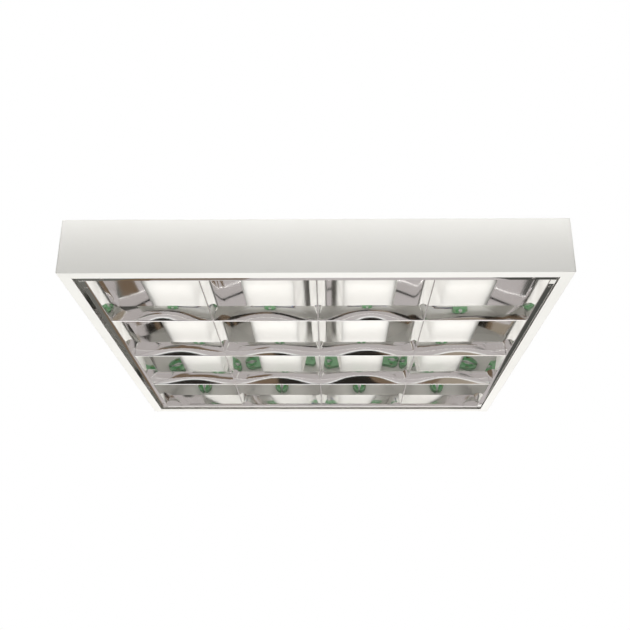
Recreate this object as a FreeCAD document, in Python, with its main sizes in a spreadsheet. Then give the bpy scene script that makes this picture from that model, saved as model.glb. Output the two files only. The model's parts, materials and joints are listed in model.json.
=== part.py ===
import FreeCAD, Part
import math
import operator
import os

import Sketcher

# Surface mounted ceiling light with a hinged mirror louvre, in millimetres.
# The origin is the centre of the ceiling face and +Z points up into the ceiling.
# The lamps lie along Y, and the light hangs from z = 0 down to z = -body_height.
# Pieces of the two ends are drawn for the far end (+Y) and turned round for the near one.

doc = FreeCAD.newDocument("ceiling_light")
sheet = doc.addObject("Spreadsheet::Sheet", "Sizes")
nodes = []
# A wire's bend takes this share of the shorter run beside it.
BEND_SHARE = 0.45
# Level cuts across slanted sheets, in sheet thicknesses.
PROFILE_SLANT = 1.75
LATCH_SLANT = 1.5
OPERATIONS = {"+": operator.add, "-": operator.sub, "*": operator.mul, "/": operator.truediv}


class Size:
    """A length in mm that also knows the expression which ties it to the sheet."""

    def __init__(self, value, text):
        self.value = value
        self.text = text

    def __add__(self, other):
        return joined(self, "+", other)

    def __radd__(self, other):
        return joined(other, "+", self)

    def __sub__(self, other):
        return joined(self, "-", other)

    def __rsub__(self, other):
        return joined(other, "-", self)

    def __mul__(self, other):
        return joined(self, "*", other)

    def __rmul__(self, other):
        return joined(other, "*", self)

    def __truediv__(self, other):
        return joined(self, "/", other)

    def __neg__(self):
        return joined(0, "-", self)


def as_size(value):
    """Give a plain number the form of a size."""
    if isinstance(value, Size):
        return value
    return Size(float(value), f"({float(value)})")


def joined(left, sign, right):
    """Work out one arithmetic step on both the value and the expression."""
    left = as_size(left)
    right = as_size(right)
    return Size(OPERATIONS[sign](left.value, right.value), f"({left.text} {sign} {right.text})")


def root(size):
    """Square root of a size."""
    return Size(math.sqrt(size.value), f"sqrt({size.text})")


def driving(row, alias, value):
    """Write one driving dimension into a row of the sheet and return it as a size."""
    sheet.set(f"A{row}", alias.replace("_", " "))
    sheet.set(f"B{row}", str(value))
    sheet.setAlias(f"B{row}", alias)
    return Size(float(value), f"Sizes.{alias}")


# Housing sheet metal
body_width = 620  # housing across the lamps
body_height = 72  # ceiling face to flange face
steel_sheet = 0.7  # steel sheet thickness
bend_radius = 1.2  # outside radius of the folds
corner_round = 0.55  # rounded upright corners of the end plates
flange_width = 15  # flange round the opening
sheet_gap = 0.1  # gap between sheets that slide together
tab_width = 12  # tabs of the end plates
tab_margin = 8  # tabs end this far from back and flange
rail_height = 6  # lampholder rail below the back
rail_width = 16  # lampholder rail across
rail_foot = 10  # foot of the lampholder rail
rail_end_gap = 4  # rail ends short of the housing side
# Ceiling fixing and cable entry
ceiling_hole_x = 288  # ceiling slots apart across the lamps
ceiling_hole_y = 400  # ceiling slots apart along the lamps
ceiling_slot_width = 5.5  # ceiling slot width
ceiling_slot_length = 12  # ceiling slot end to end
knockout_y = 130  # spare cable knockout from the centre
knockout_radius = 10  # knockout disc
knockout_groove = 0.9  # width of the groove round the knockout
knockout_depth = 0.35  # depth of the groove round the knockout
bush_neck_radius = 10  # cable bush neck
bush_flange_radius = 13.5  # cable bush flange
bush_flange_height = 2.6  # cable bush flange
bush_bore_radius = 5.5  # bore for the supply cable
# Rivets
rivet_radius = 1.6  # blind rivet shank
rivet_head_radius = 3.2  # blind rivet head
rivet_head_height = 1.1  # blind rivet head
rivet_fit = 0.05  # rivet hole larger than the shank
end_rivet_x = 150  # outer rivets of the end plates and rails
# Lamps and lampholders
lamp_side_room = 92.5  # outer lamp axes to the housing's sides
lamp_drop = 25  # lamp axes below the ceiling face
lamp_length = 590  # tube between its cap faces
lamp_end_room = 15  # cap face of the tube to the outer end of the housing
lamp_play = 0.5  # end play of the tube at each holder
pin_spacing = 12.7  # cap pins apart
pin_diameter = 2.35  # cap pins
pin_clearance = 0.45  # slot wider than the pins
pin_depth = 7.4  # depth of the slot for the pins
holder_width = 24  # lampholder across
holder_depth = 13  # lampholder along the lamp
holder_edge = 0.8  # rounded front edge of the lampholder
mouth_width = 8  # lead-in of the pin slot
mouth_height = 3.4  # lead-in of the pin slot
foot_width = 10  # snap foot of the lampholder
foot_depth = 6  # snap foot of the lampholder
foot_barb = 0.8  # barbs of the snap foot
foot_height = 1.6  # snap foot above the rail web
rotor_rim = 0.9  # rotor beyond the pins
rotor_gap = 0.3  # gap round the rotor
rotor_floor = 0.9  # rotor behind the pin slot
rotor_set_back = 0.4  # rotor behind the holder's face
eye_width = 6.4  # almond opening of the rotor
eye_depth = 1.6  # almond opening of the rotor
stub_radius = 2.5  # rotor bearing stub
stub_length = 2.4  # rotor bearing stub
running_gap = 0.05  # running fit of pins and stubs
contact_sheet = 0.4  # contact spring thickness
contact_height = 5  # contact spring
contact_pocket = 1.7  # contact pocket beside the rotor
# Wiring
wire_radius = 1.1  # insulated wire
wire_fit = 0.1  # gap round a wire in a hole or clip
line_hole_y = 4  # line wire behind the holder's face
line_hole_z = 11.5  # line wire above the lamp axis
neutral_hole_y = 9  # neutral wire behind the holder's face
neutral_hole_z = 14.5  # neutral wire above the lamp axis
wire_entry = 5.5  # wire inside a holder or terminal
wire_straight = 12  # wire runs straight out of a terminal
wire_slope = 18  # wire slopes from one level to the next
wire_turn = 20  # straight wire beside a lampholder
clip_wall = 1.3  # wall of the wire clips
clip_seat = 0.5  # clip between a wire and the sheet
clip_length = 7  # wire clips along the wire
clip_pitch = 50  # clips on the long run apart
first_clip_y = 130  # first clip from the light's centre
# Terminal block and earth point
block_y = 60  # terminal block from the centre, towards the near end
block_width = 34  # terminal block across
block_depth = 20  # terminal block along the wires
block_height = 14  # terminal block
block_ear = 9  # ears of the terminal block
block_ear_sheet = 2  # ears of the terminal block
pole_pitch = 11  # terminals apart
pole_wire_pitch = 2.8  # two wires in one terminal apart
pole_drop = 6  # wire entries below the back
barrier_width = 1.6  # groove between the terminals
barrier_depth = 7  # groove between the terminals
screw_radius = 2.1  # terminal screw
screw_length = 3.2  # terminal screw
screw_depth = 4.8  # terminal screw well
screw_slot = 0.8  # driver slot of the terminal screw
stud_x = 24  # earth stud from the centre
stud_y = 108  # earth stud from the centre, towards the near end
stud_radius = 2  # earth stud
stud_length = 10  # earth stud
washer_radius = 4.4  # toothed washer
washer_sheet = 0.7  # toothed washer
lug_radius = 4.2  # cable lug ring
lug_sheet = 0.8  # cable lug ring
lug_reach = 9  # cable lug ring centre to its barrel
lug_barrel_length = 8  # cable lug barrel
lug_barrel_wall = 0.7  # cable lug barrel
nut_flats = 7  # earth nut across its flats
nut_height = 3.2  # earth nut
# Louvre
louvre_shift = 2.2  # louvre sits towards its hinges
louvre_clearance = 2.5  # louvre to the flange's edge, all round
louvre_recess = 2  # louvre edge above the flange face
louvre_sheet = 0.5  # mirror sheet thickness
louvre_gap = 0.3  # gap where louvre pieces cross
lip_width = 9  # mirror lip round the louvre
rim_height = 7  # upturned rim of the lip
profile_side_room = 148.5  # edges of the outer V profiles to the louvre's sides
profile_height = 61  # V profile
profile_run = 34.5  # V profile from its edge to its open top
profile_hollow = 8.2  # hollow of a V profile's face
blade_end_room = 146  # edges of the outer cross blades to the louvre's ends
blade_height = 21.5  # cross blade
blade_run = 5.5  # cross blade from its edge to its open top
blade_bulge = 0.25  # bulge of a cross blade's face
end_blade_run = 1.6  # end blade from its edge to its top
end_blade_bulge = 0.15  # bulge of an end blade's face
edge_half = 0.5  # half of the folded lower edges
lap_height = 11  # cross blade is whole up to here
blade_tab_low = 7  # lower edge of a cross blade's end tab
blade_tab_high = 14  # upper edge of a cross blade's end tab
gusset_sheet = 1  # corner gusset
gusset_arm = 34  # corner gusset arm
gusset_margin = 0.5  # gusset clear of the rim and the leaf
gusset_rivet = 5  # gusset rivet from the end of its arm
# Hinges and latch springs
hinge_inset = 4.2  # hinge axis inside the louvre's side
hinge_lift = 3.5  # hinge axis above the louvre's lower edge
hinge_pin_radius = 1.5  # hinge pin
hinge_head_radius = 2.6  # head of the hinge pin
hinge_head = 1  # head of the hinge pin
hinge_pin_reach = 16  # hinge pin inside its block
hinge_block_height = 8  # hinge block
hinge_block_show = 12  # hinge block seen from below, along the lip
bracket_sheet = 1.5  # hinge bracket
bracket_gap = 0.6  # hinge bracket to the louvre's end
bracket_eye = 3.5  # round end of the hinge bracket
bracket_length = 28  # bracket foot along the housing side
bracket_height = 12  # hinge bracket
bracket_rivet_first = 9  # first rivet from the bracket's bend
bracket_rivet_pitch = 12  # bracket rivets apart
latch_y = 160  # latch springs from the centre
latch_length = 56  # latch spring along the housing side
latch_sheet = 0.6  # latch spring sheet
latch_top = 50  # latch spring top above the flange face
latch_fold = 30  # latch spring fold above the flange face
latch_nose = 8  # latch spring nose above the flange face
latch_tail = 2.6  # latch spring tail above the flange face
latch_tail_back = 4.4  # latch spring tail behind its nose
latch_gap = 0.4  # latch spring nose to the louvre
latch_rivet_half = 18  # half of the latch rivet spacing

# Every driving size gets a cell of the sheet and can then be used in expressions
driving_names = [
    name for name, number in globals().items()
    if name.islower() and isinstance(number, (int, float))
]
for row, name in enumerate(driving_names, 1):
    globals()[name] = driving(row, name, globals()[name])

# Places that several pieces share
body_length = lamp_length + 2 * lamp_end_room
louvre_width = body_width - 2 * (flange_width + louvre_clearance)
louvre_length = body_length - 2 * (flange_width + louvre_clearance)
lamp_pitch = (body_width - 2 * lamp_side_room) / 3
profile_pitch = louvre_width / 2 - profile_side_room
blade_pitch = louvre_length / 2 - blade_end_room
half_width = body_width / 2
half_length = body_length / 2
side_face = half_width - steel_sheet
wall_face = half_length - steel_sheet
back_face = -steel_sheet
rail_face = back_face - rail_height
holder_face = lamp_length / 2 + lamp_play
flange_face = -body_height
louvre_edge = flange_face + louvre_recess
lip_side = louvre_width / 2
lip_end = louvre_length / 2
lip_inner_side = lip_side - lip_width
lip_inner_end = lip_end - lip_width
blade_half = edge_half + blade_run
rotor_radius = pin_spacing / 2 + pin_diameter / 2 + rotor_rim
rotor_length = pin_depth + rotor_floor
recess_radius = rotor_radius + rotor_gap
recess_depth = rotor_set_back + rotor_length + rotor_gap
slot_width = pin_diameter + pin_clearance
holder_top = lamp_drop + rail_face
foot_y = holder_depth / 2
hinge_x = louvre_shift + lip_side - hinge_inset
hinge_z = louvre_edge + hinge_lift
bracket_low = lip_end + bracket_gap
bracket_high = bracket_low + bracket_sheet
bracket_base = hinge_z - bracket_eye
side_lip_end = lip_inner_end - edge_half - louvre_gap
barrel_radius = wire_radius + wire_fit + lug_barrel_wall
lug_barrel_z = back_face - sheet_gap - barrel_radius
run_level = back_face - clip_seat - wire_radius - wire_fit
link_level = rail_face - clip_seat - wire_radius - wire_fit
gusset_top = louvre_edge + louvre_sheet + gusset_sheet
gusset_in_x = lip_inner_side + louvre_sheet + gusset_margin
gusset_out_x = lip_side - louvre_sheet - gusset_margin
gusset_in_y = lip_inner_end + louvre_sheet + gusset_margin
gusset_out_y = lip_end - louvre_sheet - gusset_margin
lamp_columns = [lamp_pitch * step for step in (-1.5, -0.5, 0.5, 1.5)]
ENDS = (("near", -1), ("far", 1))


def node(piece, label):
    """Name a finished piece; its label names its file."""
    piece.Label = label
    nodes.append(piece)
    return piece


def new_body(label):
    """Start the body of a piece that is a node of its own."""
    return node(doc.addObject("PartDesign::Body", label), label)


def place(piece, x, y, z, turn=0):
    """Put a piece at sizes from the sheet, turned about the upright axis in degrees."""
    spot = FreeCAD.Vector(*(as_size(value).value for value in (x, y, z)))
    upright = FreeCAD.Vector(0, 0, 1)
    piece.Placement = FreeCAD.Placement(spot, FreeCAD.Rotation(upright, turn))
    for name, value in zip("xyz", (x, y, z)):
        piece.setExpression(f"Placement.Base.{name}", as_size(value).text)
    return piece


def at_end(piece, sign):
    """Leave a piece at the far end, or turn it round to the near one."""
    return place(piece, 0, 0, 0, 0 if sign > 0 else 180)


def sketch_on(body, role, offset=0):
    """Start a sketch on one of the body's origin planes, moved along its normal."""
    plane = next(item for item in body.Origin.OriginFeatures if item.Role == role)
    sketch = body.newObject("Sketcher::SketchObject", f"{body.Name}_sketch")
    sketch.AttachmentSupport = [(plane, "")]
    sketch.MapMode = "FlatFace"
    sketch.setExpression("AttachmentOffset.Base.z", as_size(offset).text)
    return sketch


def bind(sketch, size, kind, *where):
    """Add a dimension to a sketch and tie it to the sheet."""
    number = sketch.addConstraint(Sketcher.Constraint(kind, *where, size.value))
    sketch.setExpression(f"Constraints[{number}]", size.text)


def arc_edge(sketch, start, end, rise):
    """Draw the arc between two corners that rises to the left of its chord."""
    height = rise if rise.value > 0 else -rise
    across = end[0] - start[0]
    up = end[1] - start[1]
    radius = (across * across + up * up) / (8 * height) + height / 2
    first = FreeCAD.Vector(start[0].value, start[1].value, 0)
    last = FreeCAD.Vector(end[0].value, end[1].value, 0)
    left = FreeCAD.Vector(-up.value, across.value, 0).normalize()
    sign = 1 if rise.value > 0 else -1
    centre = (first + last) / 2 + left * sign * (height.value - radius.value)
    begin, finish = (last, first) if sign > 0 else (first, last)
    angles = [math.atan2(spot.y - centre.y, spot.x - centre.x) for spot in (begin, finish)]
    circle_line = Part.Circle(centre, FreeCAD.Vector(0, 0, 1), radius.value)
    edge = sketch.addGeometry(Part.ArcOfCircle(circle_line, *angles))
    bind(sketch, radius, "Radius", edge)
    return (edge, 2, 1) if sign > 0 else (edge, 1, 2)


def outline(sketch, corners):
    """Draw a closed outline; a corner's third value bends the edge that starts there."""
    corners = [tuple(as_size(value) for value in corner) for corner in corners]
    edges = []
    for corner, following in zip(corners, corners[1:] + corners[:1]):
        if len(corner) == 3:
            edges.append(arc_edge(sketch, corner, following, corner[2]))
        else:
            line = Part.LineSegment(
                FreeCAD.Vector(corner[0].value, corner[1].value, 0),
                FreeCAD.Vector(following[0].value, following[1].value, 0),
            )
            edges.append((sketch.addGeometry(line), 1, 2))
    for corner, edge, following in zip(corners, edges, edges[1:] + edges[:1]):
        sketch.addConstraint(
            Sketcher.Constraint("Coincident", edge[0], edge[2], following[0], following[1])
        )
        bind(sketch, corner[0], "DistanceX", -1, 1, edge[0], edge[1])
        bind(sketch, corner[1], "DistanceY", -1, 1, edge[0], edge[1])
    return sketch


def rectangle(sketch, x_low, y_low, x_high, y_high):
    """Draw an upright rectangle between two corners."""
    return outline(
        sketch, [(x_low, y_low), (x_high, y_low), (x_high, y_high), (x_low, y_high)]
    )


def circle(sketch, x, y, radius):
    """Draw a circle."""
    x, y, radius = as_size(x), as_size(y), as_size(radius)
    spot = FreeCAD.Vector(x.value, y.value, 0)
    ring = sketch.addGeometry(Part.Circle(spot, FreeCAD.Vector(0, 0, 1), radius.value))
    bind(sketch, x, "DistanceX", -1, 1, ring, 3)
    bind(sketch, y, "DistanceY", -1, 1, ring, 3)
    bind(sketch, radius, "Radius", ring)
    return sketch


def pad(body, sketch, length, side="Symmetric", backwards=False):
    """Raise a sketch into a solid."""
    feature = body.newObject("PartDesign::Pad", f"{body.Name}_pad")
    feature.Profile = sketch
    feature.SideType = side
    feature.Reversed = backwards
    feature.setExpression("Length", as_size(length).text)
    return feature


def pocket(body, sketch, depth=None, side="One side", backwards=False):
    """Cut a sketch out of a solid, right through where no depth is given."""
    feature = body.newObject("PartDesign::Pocket", f"{body.Name}_pocket")
    feature.Profile = sketch
    feature.SideType = side
    feature.Reversed = backwards
    if depth is None:
        feature.Type = "ThroughAll"
    else:
        feature.setExpression("Length", as_size(depth).text)
    return feature


def rounded(body, feature, radius, chosen):
    """Round the edges of a feature that a test picks out by their middle points."""
    doc.recompute()
    names = [
        f"Edge{number}"
        for number, edge in enumerate(feature.Shape.Edges, 1)
        if chosen(edge.CenterOfMass, edge)
    ]
    fillet = body.newObject("PartDesign::Fillet", f"{body.Name}_fillet")
    fillet.Base = (feature, names)
    fillet.setExpression("Radius", radius.text)
    return fillet


def near_to(value, *targets):
    """True where a coordinate is one of the given sizes."""
    return any(abs(value - as_size(target).value) < 1e-4 for target in targets)


def block(low, high):
    """A box between two corners."""
    piece = doc.addObject("Part::Box", "Block")
    for name, start, end in zip(("Length", "Width", "Height"), low, high):
        piece.setExpression(name, (as_size(end) - start).text)
    return place(piece, *low)


def turned_along(piece, at, axis):
    """Stand a round primitive at a point, along an axis."""
    place(piece, *at)
    turn = FreeCAD.Rotation(FreeCAD.Vector(0, 0, 1), FreeCAD.Vector(*axis))
    piece.Placement = FreeCAD.Placement(piece.Placement.Base, turn)
    return piece


def rod(at, axis, radius, length):
    """A cylinder from a point along an axis."""
    piece = doc.addObject("Part::Cylinder", "Rod")
    piece.setExpression("Radius", as_size(radius).text)
    piece.setExpression("Height", as_size(length).text)
    return turned_along(piece, at, axis)


def taper(at, axis, start_radius, end_radius, length):
    """A cone's frustum from a point along an axis."""
    piece = doc.addObject("Part::Cone", "Taper")
    piece.setExpression("Radius1", as_size(start_radius).text)
    piece.setExpression("Radius2", as_size(end_radius).text)
    piece.setExpression("Height", as_size(length).text)
    return turned_along(piece, at, axis)


def united(pieces):
    """Join primitives into one solid."""
    whole = doc.addObject("Part::MultiFuse", "Union")
    whole.Shapes = pieces
    return whole


def without(piece, tool):
    """Cut one primitive out of another."""
    rest = doc.addObject("Part::Cut", "Difference")
    rest.Base = piece
    rest.Tool = tool
    return rest


def group(label, pieces):
    """Keep separate solids of one kind in one node."""
    whole = doc.addObject("Part::Compound", label)
    whole.Links = pieces
    return node(whole, label)


def along(at, axis, distance):
    """The point a distance along an axis from another point."""
    return tuple(as_size(start) + distance * step for start, step in zip(at, axis))


def rivet(at, axis, grip):
    """A blind rivet, flush at its start and with a domed head beyond its grip."""
    shank = rod(at, axis, rivet_radius, grip)
    head = taper(
        along(at, axis, grip), axis, rivet_head_radius, rivet_head_radius / 2, rivet_head_height
    )
    return united([shank, head])


def run_at(height, run, rise, bow):
    """How far a curved face has come out at a height; a positive bow is hollow."""
    chord = root(run * run + rise * rise)
    depth = bow if bow.value > 0 else -bow
    sign = 1 if bow.value > 0 else -1
    radius = chord * chord / (8 * depth) + depth / 2
    across = run / 2 + sign * (radius - depth) * rise / chord
    up = rise / 2 - sign * (radius - depth) * run / chord
    reach = root(radius * radius - (height - up) * (height - up))
    return across - sign * reach


def profile_at(height):
    """Run of a V profile's face at a height above its edge."""
    return run_at(as_size(height), profile_run, profile_height, profile_hollow)


def blade_at(height):
    """Half width of a cross blade at a height above its edge."""
    return edge_half + run_at(as_size(height), blade_run, blade_height, -blade_bulge)


def end_rivet_points():
    """Places of the rivets along the end plate's tab and the rail's foot, far end."""
    tab_line = half_length - tab_width / 2
    foot_line = wall_face - rail_width - rail_foot / 2
    return [(end_rivet_x * step, line) for step in (-1, 0, 1) for line in (tab_line, foot_line)]


def block_rivet_points():
    """Places of the two rivets through the terminal block's ears."""
    reach = block_width / 2 + block_ear / 2
    return [(-reach, -block_y), (reach, -block_y)]


def bracket_rivet_points(sign):
    """Places of a hinge bracket's rivets on the housing side, as y and z."""
    line = bracket_base + bracket_height / 2
    first = bracket_low - bracket_rivet_first
    return [(first * sign, line), ((first - bracket_rivet_pitch) * sign, line)]


def latch_rivet_points(sign):
    """Places of a latch spring's rivets on the housing side, as y and z."""
    line = flange_face + (latch_top + latch_fold) / 2
    return [(latch_y * sign + latch_rivet_half * step, line) for step in (-1, 1)]


def housing_tray():
    """Back, side walls and side flanges folded from one sheet."""
    body = new_body("housing_tray")
    inner_flange = half_width - flange_width
    section = outline(sketch_on(body, "XZ_Plane"), [
        (-inner_flange, flange_face),
        (-inner_flange, flange_face + steel_sheet),
        (-side_face, flange_face + steel_sheet),
        (-side_face, back_face),
        (side_face, back_face),
        (side_face, flange_face + steel_sheet),
        (inner_flange, flange_face + steel_sheet),
        (inner_flange, flange_face),
        (half_width, flange_face),
        (half_width, 0),
        (-half_width, 0),
        (-half_width, flange_face),
    ])
    folded = pad(body, section, body_length)
    folded = rounded(body, folded, bend_radius, lambda spot, edge: (
        near_to(spot.y, 0) and near_to(abs(spot.x), half_width) and near_to(spot.z, 0, flange_face)
    ))
    rounded(body, folded, bend_radius - steel_sheet, lambda spot, edge: (
        near_to(spot.y, 0) and near_to(abs(spot.x), side_face)
        and near_to(spot.z, back_face, flange_face + steel_sheet)
    ))
    straight = sketch_on(body, "XY_Plane")
    ends = sketch_on(body, "XY_Plane")
    reach = (ceiling_slot_length - ceiling_slot_width) / 2
    for x in (-ceiling_hole_x / 2, ceiling_hole_x / 2):
        for y in (-ceiling_hole_y / 2, ceiling_hole_y / 2):
            rectangle(straight, x - reach, y - ceiling_slot_width / 2,
                      x + reach, y + ceiling_slot_width / 2)
            circle(ends, x - reach, y, ceiling_slot_width / 2)
            circle(ends, x + reach, y, ceiling_slot_width / 2)
    pocket(body, straight, 2 * steel_sheet)
    pocket(body, ends, 2 * steel_sheet)
    holes = circle(sketch_on(body, "XY_Plane"), 0, 0, bush_neck_radius + rivet_fit)
    for x, y in end_rivet_points():
        circle(holes, x, y, rivet_radius + rivet_fit)
        circle(holes, x, -y, rivet_radius + rivet_fit)
    for x, y in block_rivet_points():
        circle(holes, x, y, rivet_radius + rivet_fit)
    pocket(body, holes, 2 * steel_sheet)
    groove = circle(sketch_on(body, "XY_Plane"), 0, knockout_y, knockout_radius)
    circle(groove, 0, knockout_y, knockout_radius + knockout_groove)
    pocket(body, groove, knockout_depth)
    hinge_side = sketch_on(body, "YZ_Plane", half_width)
    latch_side = sketch_on(body, "YZ_Plane", -half_width)
    for name, sign in ENDS:
        for y, z in bracket_rivet_points(sign):
            circle(hinge_side, y, z, rivet_radius + rivet_fit)
        for y, z in latch_rivet_points(sign):
            circle(latch_side, y, z, rivet_radius + rivet_fit)
    pocket(body, hinge_side, 2 * steel_sheet)
    pocket(body, latch_side, 2 * steel_sheet, backwards=True)


def end_plate(name, sign):
    """End wall with its flange, a tab under the back and tabs inside the side walls."""
    body = new_body(f"end_plate_{name}")
    inner_flange = half_length - flange_width
    section = outline(sketch_on(body, "YZ_Plane"), [
        (half_length, flange_face),
        (half_length, back_face),
        (half_length - tab_width, back_face),
        (half_length - tab_width, back_face - steel_sheet),
        (wall_face, back_face - steel_sheet),
        (wall_face, flange_face + steel_sheet),
        (inner_flange, flange_face + steel_sheet),
        (inner_flange, flange_face),
    ])
    width = side_face - sheet_gap
    wall = pad(body, section, 2 * width)
    for side in (-1, 1):
        start = width - steel_sheet if side > 0 else -width
        tab = rectangle(
            sketch_on(body, "YZ_Plane", start),
            half_length - tab_width, flange_face + tab_margin,
            wall_face + steel_sheet / 2, -tab_margin,
        )
        wall = pad(body, tab, steel_sheet, "One side")
    corners = sketch_on(body, "XZ_Plane")
    notch = half_width - flange_width - sheet_gap
    low = flange_face + steel_sheet + sheet_gap
    for side in (-1, 1):
        outline(corners, [
            (notch * side, flange_face - steel_sheet), (half_width * side, flange_face - steel_sheet),
            (half_width * side, low + bend_radius), (width * side, low + bend_radius),
            ((width - bend_radius) * side, low), (notch * side, low),
        ])
        outline(corners, [
            ((width - bend_radius) * side, back_face), (half_width * side, back_face),
            (half_width * side, back_face - bend_radius), (width * side, back_face - bend_radius),
        ])
    wall = pocket(body, corners, side="Symmetric")
    wall = rounded(body, wall, bend_radius, lambda spot, edge: (
        near_to(spot.y, half_length) and near_to(spot.z, flange_face)
    ))
    wall = rounded(body, wall, bend_radius - steel_sheet, lambda spot, edge: (
        near_to(spot.y, wall_face) and near_to(spot.z, flange_face + steel_sheet)
    ))
    rounded(body, wall, corner_round, lambda spot, edge: (
        near_to(spot.y, half_length) and near_to(abs(spot.x), width)
    ))
    holes = sketch_on(body, "XY_Plane", back_face)
    for x, y in end_rivet_points():
        if y.value > wall_face.value - rail_width.value:
            circle(holes, x, y, rivet_radius + rivet_fit)
    pocket(body, holes, 2 * steel_sheet)
    at_end(body, sign)


def holder_rail(name, sign):
    """Folded channel inside the back that the lampholders snap into."""
    body = new_body(f"holder_rail_{name}")
    outer = wall_face - sheet_gap
    inner = wall_face - rail_width
    leg_top = back_face - steel_sheet - 2 * sheet_gap
    section = outline(sketch_on(body, "YZ_Plane"), [
        (outer, rail_face),
        (outer, leg_top),
        (outer - steel_sheet, leg_top),
        (outer - steel_sheet, rail_face + steel_sheet),
        (inner + steel_sheet, rail_face + steel_sheet),
        (inner + steel_sheet, back_face),
        (inner - rail_foot, back_face),
        (inner - rail_foot, back_face - steel_sheet),
        (inner, back_face - steel_sheet),
        (inner, rail_face),
    ])
    pad(body, section, body_width - 2 * rail_end_gap)
    feet = sketch_on(body, "XY_Plane", rail_face + 2 * steel_sheet)
    for x in lamp_columns:
        middle = holder_face + foot_y
        reach_x = foot_width / 2 + sheet_gap
        reach_y = foot_depth / 2 + sheet_gap
        rectangle(feet, x - reach_x, middle - reach_y, x + reach_x, middle + reach_y)
    pocket(body, feet, 3 * steel_sheet)
    holes = sketch_on(body, "XY_Plane")
    for x, y in end_rivet_points():
        if y.value < inner.value:
            circle(holes, x, y, rivet_radius + rivet_fit)
    pocket(body, holes, 3 * steel_sheet)
    at_end(body, sign)


def frame_rivets():
    """Rivets of the end plates' tabs and the rails' feet, flush with the ceiling face."""
    down = (0, 0, -1)
    rivets = []
    for x, y in end_rivet_points():
        for side in (-1, 1):
            rivets.append(rivet((x, y * side, as_size(0)), down, 2 * steel_sheet))
    group("frame_rivets", rivets)


def lampholder(label, x, sign):
    """Lampholder body: a round ended block with a rotor recess and a pin lead-in."""
    body = new_body(label)
    radius = holder_width / 2
    pad(body, circle(sketch_on(body, "XZ_Plane"), 0, 0, radius), holder_depth, "One side", True)
    stem = rectangle(sketch_on(body, "XZ_Plane"), -radius, 0, radius, holder_top)
    block_shape = pad(body, stem, holder_depth, "One side", True)
    rounded(body, block_shape, holder_edge, lambda spot, edge: (
        near_to(spot.y, 0) and edge.BoundBox.YLength < holder_edge.value
        and not near_to(spot.z, holder_top)
    ))
    recess = circle(sketch_on(body, "XZ_Plane"), 0, 0, recess_radius)
    pocket(body, recess, recess_depth)
    throat = mouth_height - radius
    lead_in = outline(sketch_on(body, "XZ_Plane"), [
        (-slot_width / 2, 0), (-slot_width / 2, throat), (-mouth_width / 2, -radius - mouth_height),
        (mouth_width / 2, -radius - mouth_height), (slot_width / 2, throat), (slot_width / 2, 0),
    ])
    pocket(body, lead_in, rotor_set_back + pin_depth)
    notch = outline(sketch_on(body, "XZ_Plane"), [
        (-slot_width / 2, throat), (-mouth_width / 2, -radius - mouth_height),
        (mouth_width / 2, -radius - mouth_height), (slot_width / 2, throat),
    ])
    pocket(body, notch, 2 * holder_depth)
    bearing = circle(sketch_on(body, "XZ_Plane"), 0, 0, stub_radius + running_gap)
    pocket(body, bearing, recess_depth + stub_length + rotor_gap)
    reach = recess_radius + contact_pocket
    contacts = rectangle(sketch_on(body, "XZ_Plane"), -reach, -contact_height / 2 - sheet_gap,
                         reach, contact_height / 2 + sheet_gap)
    pocket(body, contacts, recess_depth)
    wires = sketch_on(body, "YZ_Plane")
    circle(wires, line_hole_y, line_hole_z, wire_radius + wire_fit)
    circle(wires, neutral_hole_y, neutral_hole_z, wire_radius + wire_fit)
    pocket(body, wires, side="Symmetric")
    foot_low = foot_y - foot_depth / 2
    neck = rectangle(sketch_on(body, "XY_Plane", holder_top), -foot_width / 2, foot_low,
                     foot_width / 2, foot_low + foot_depth)
    pad(body, neck, steel_sheet + foot_height, "One side")
    barbs = rectangle(sketch_on(body, "XY_Plane", holder_top + steel_sheet + sheet_gap),
                      -foot_width / 2 - foot_barb, foot_low,
                      foot_width / 2 + foot_barb, foot_low + foot_depth)
    pad(body, barbs, foot_height - sheet_gap, "One side")
    place(body, x, holder_face * sign, -lamp_drop, 0 if sign > 0 else 180)


def rotor(label, x, sign):
    """Rotor of a lampholder: a slotted drum on a bearing stub."""
    body = new_body(label)
    front = -rotor_set_back
    drum = circle(sketch_on(body, "XZ_Plane", front), 0, 0, rotor_radius)
    pad(body, drum, rotor_length, "One side", True)
    stub = circle(sketch_on(body, "XZ_Plane", front - rotor_length), 0, 0, stub_radius)
    pad(body, stub, stub_length, "One side", True)
    slot = rectangle(sketch_on(body, "XZ_Plane", front), -slot_width / 2, -holder_width / 2,
                     slot_width / 2, holder_width / 2)
    pocket(body, slot, pin_depth)
    eye = outline(sketch_on(body, "XZ_Plane", front), [
        (0, pin_spacing / 2, eye_width / 2), (0, -pin_spacing / 2, eye_width / 2),
    ])
    pocket(body, eye, eye_depth)
    place(body, x, holder_face * sign, -lamp_drop, 0 if sign > 0 else 180)


def lamp_contacts():
    """Contact springs in the pockets beside every rotor."""
    outer = recess_radius + contact_pocket
    springs = []
    for x in lamp_columns:
        for name, sign in ENDS:
            front = (holder_face + rotor_set_back) * sign
            rear = (holder_face + recess_depth) * sign
            low_y, high_y = (front, rear) if sign > 0 else (rear, front)
            for start in (x - outer, x + outer - contact_sheet):
                springs.append(block(
                    (start, low_y, -lamp_drop - contact_height / 2),
                    (start + contact_sheet, high_y, -lamp_drop + contact_height / 2),
                ))
    group("lamp_contacts", springs)


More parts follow.
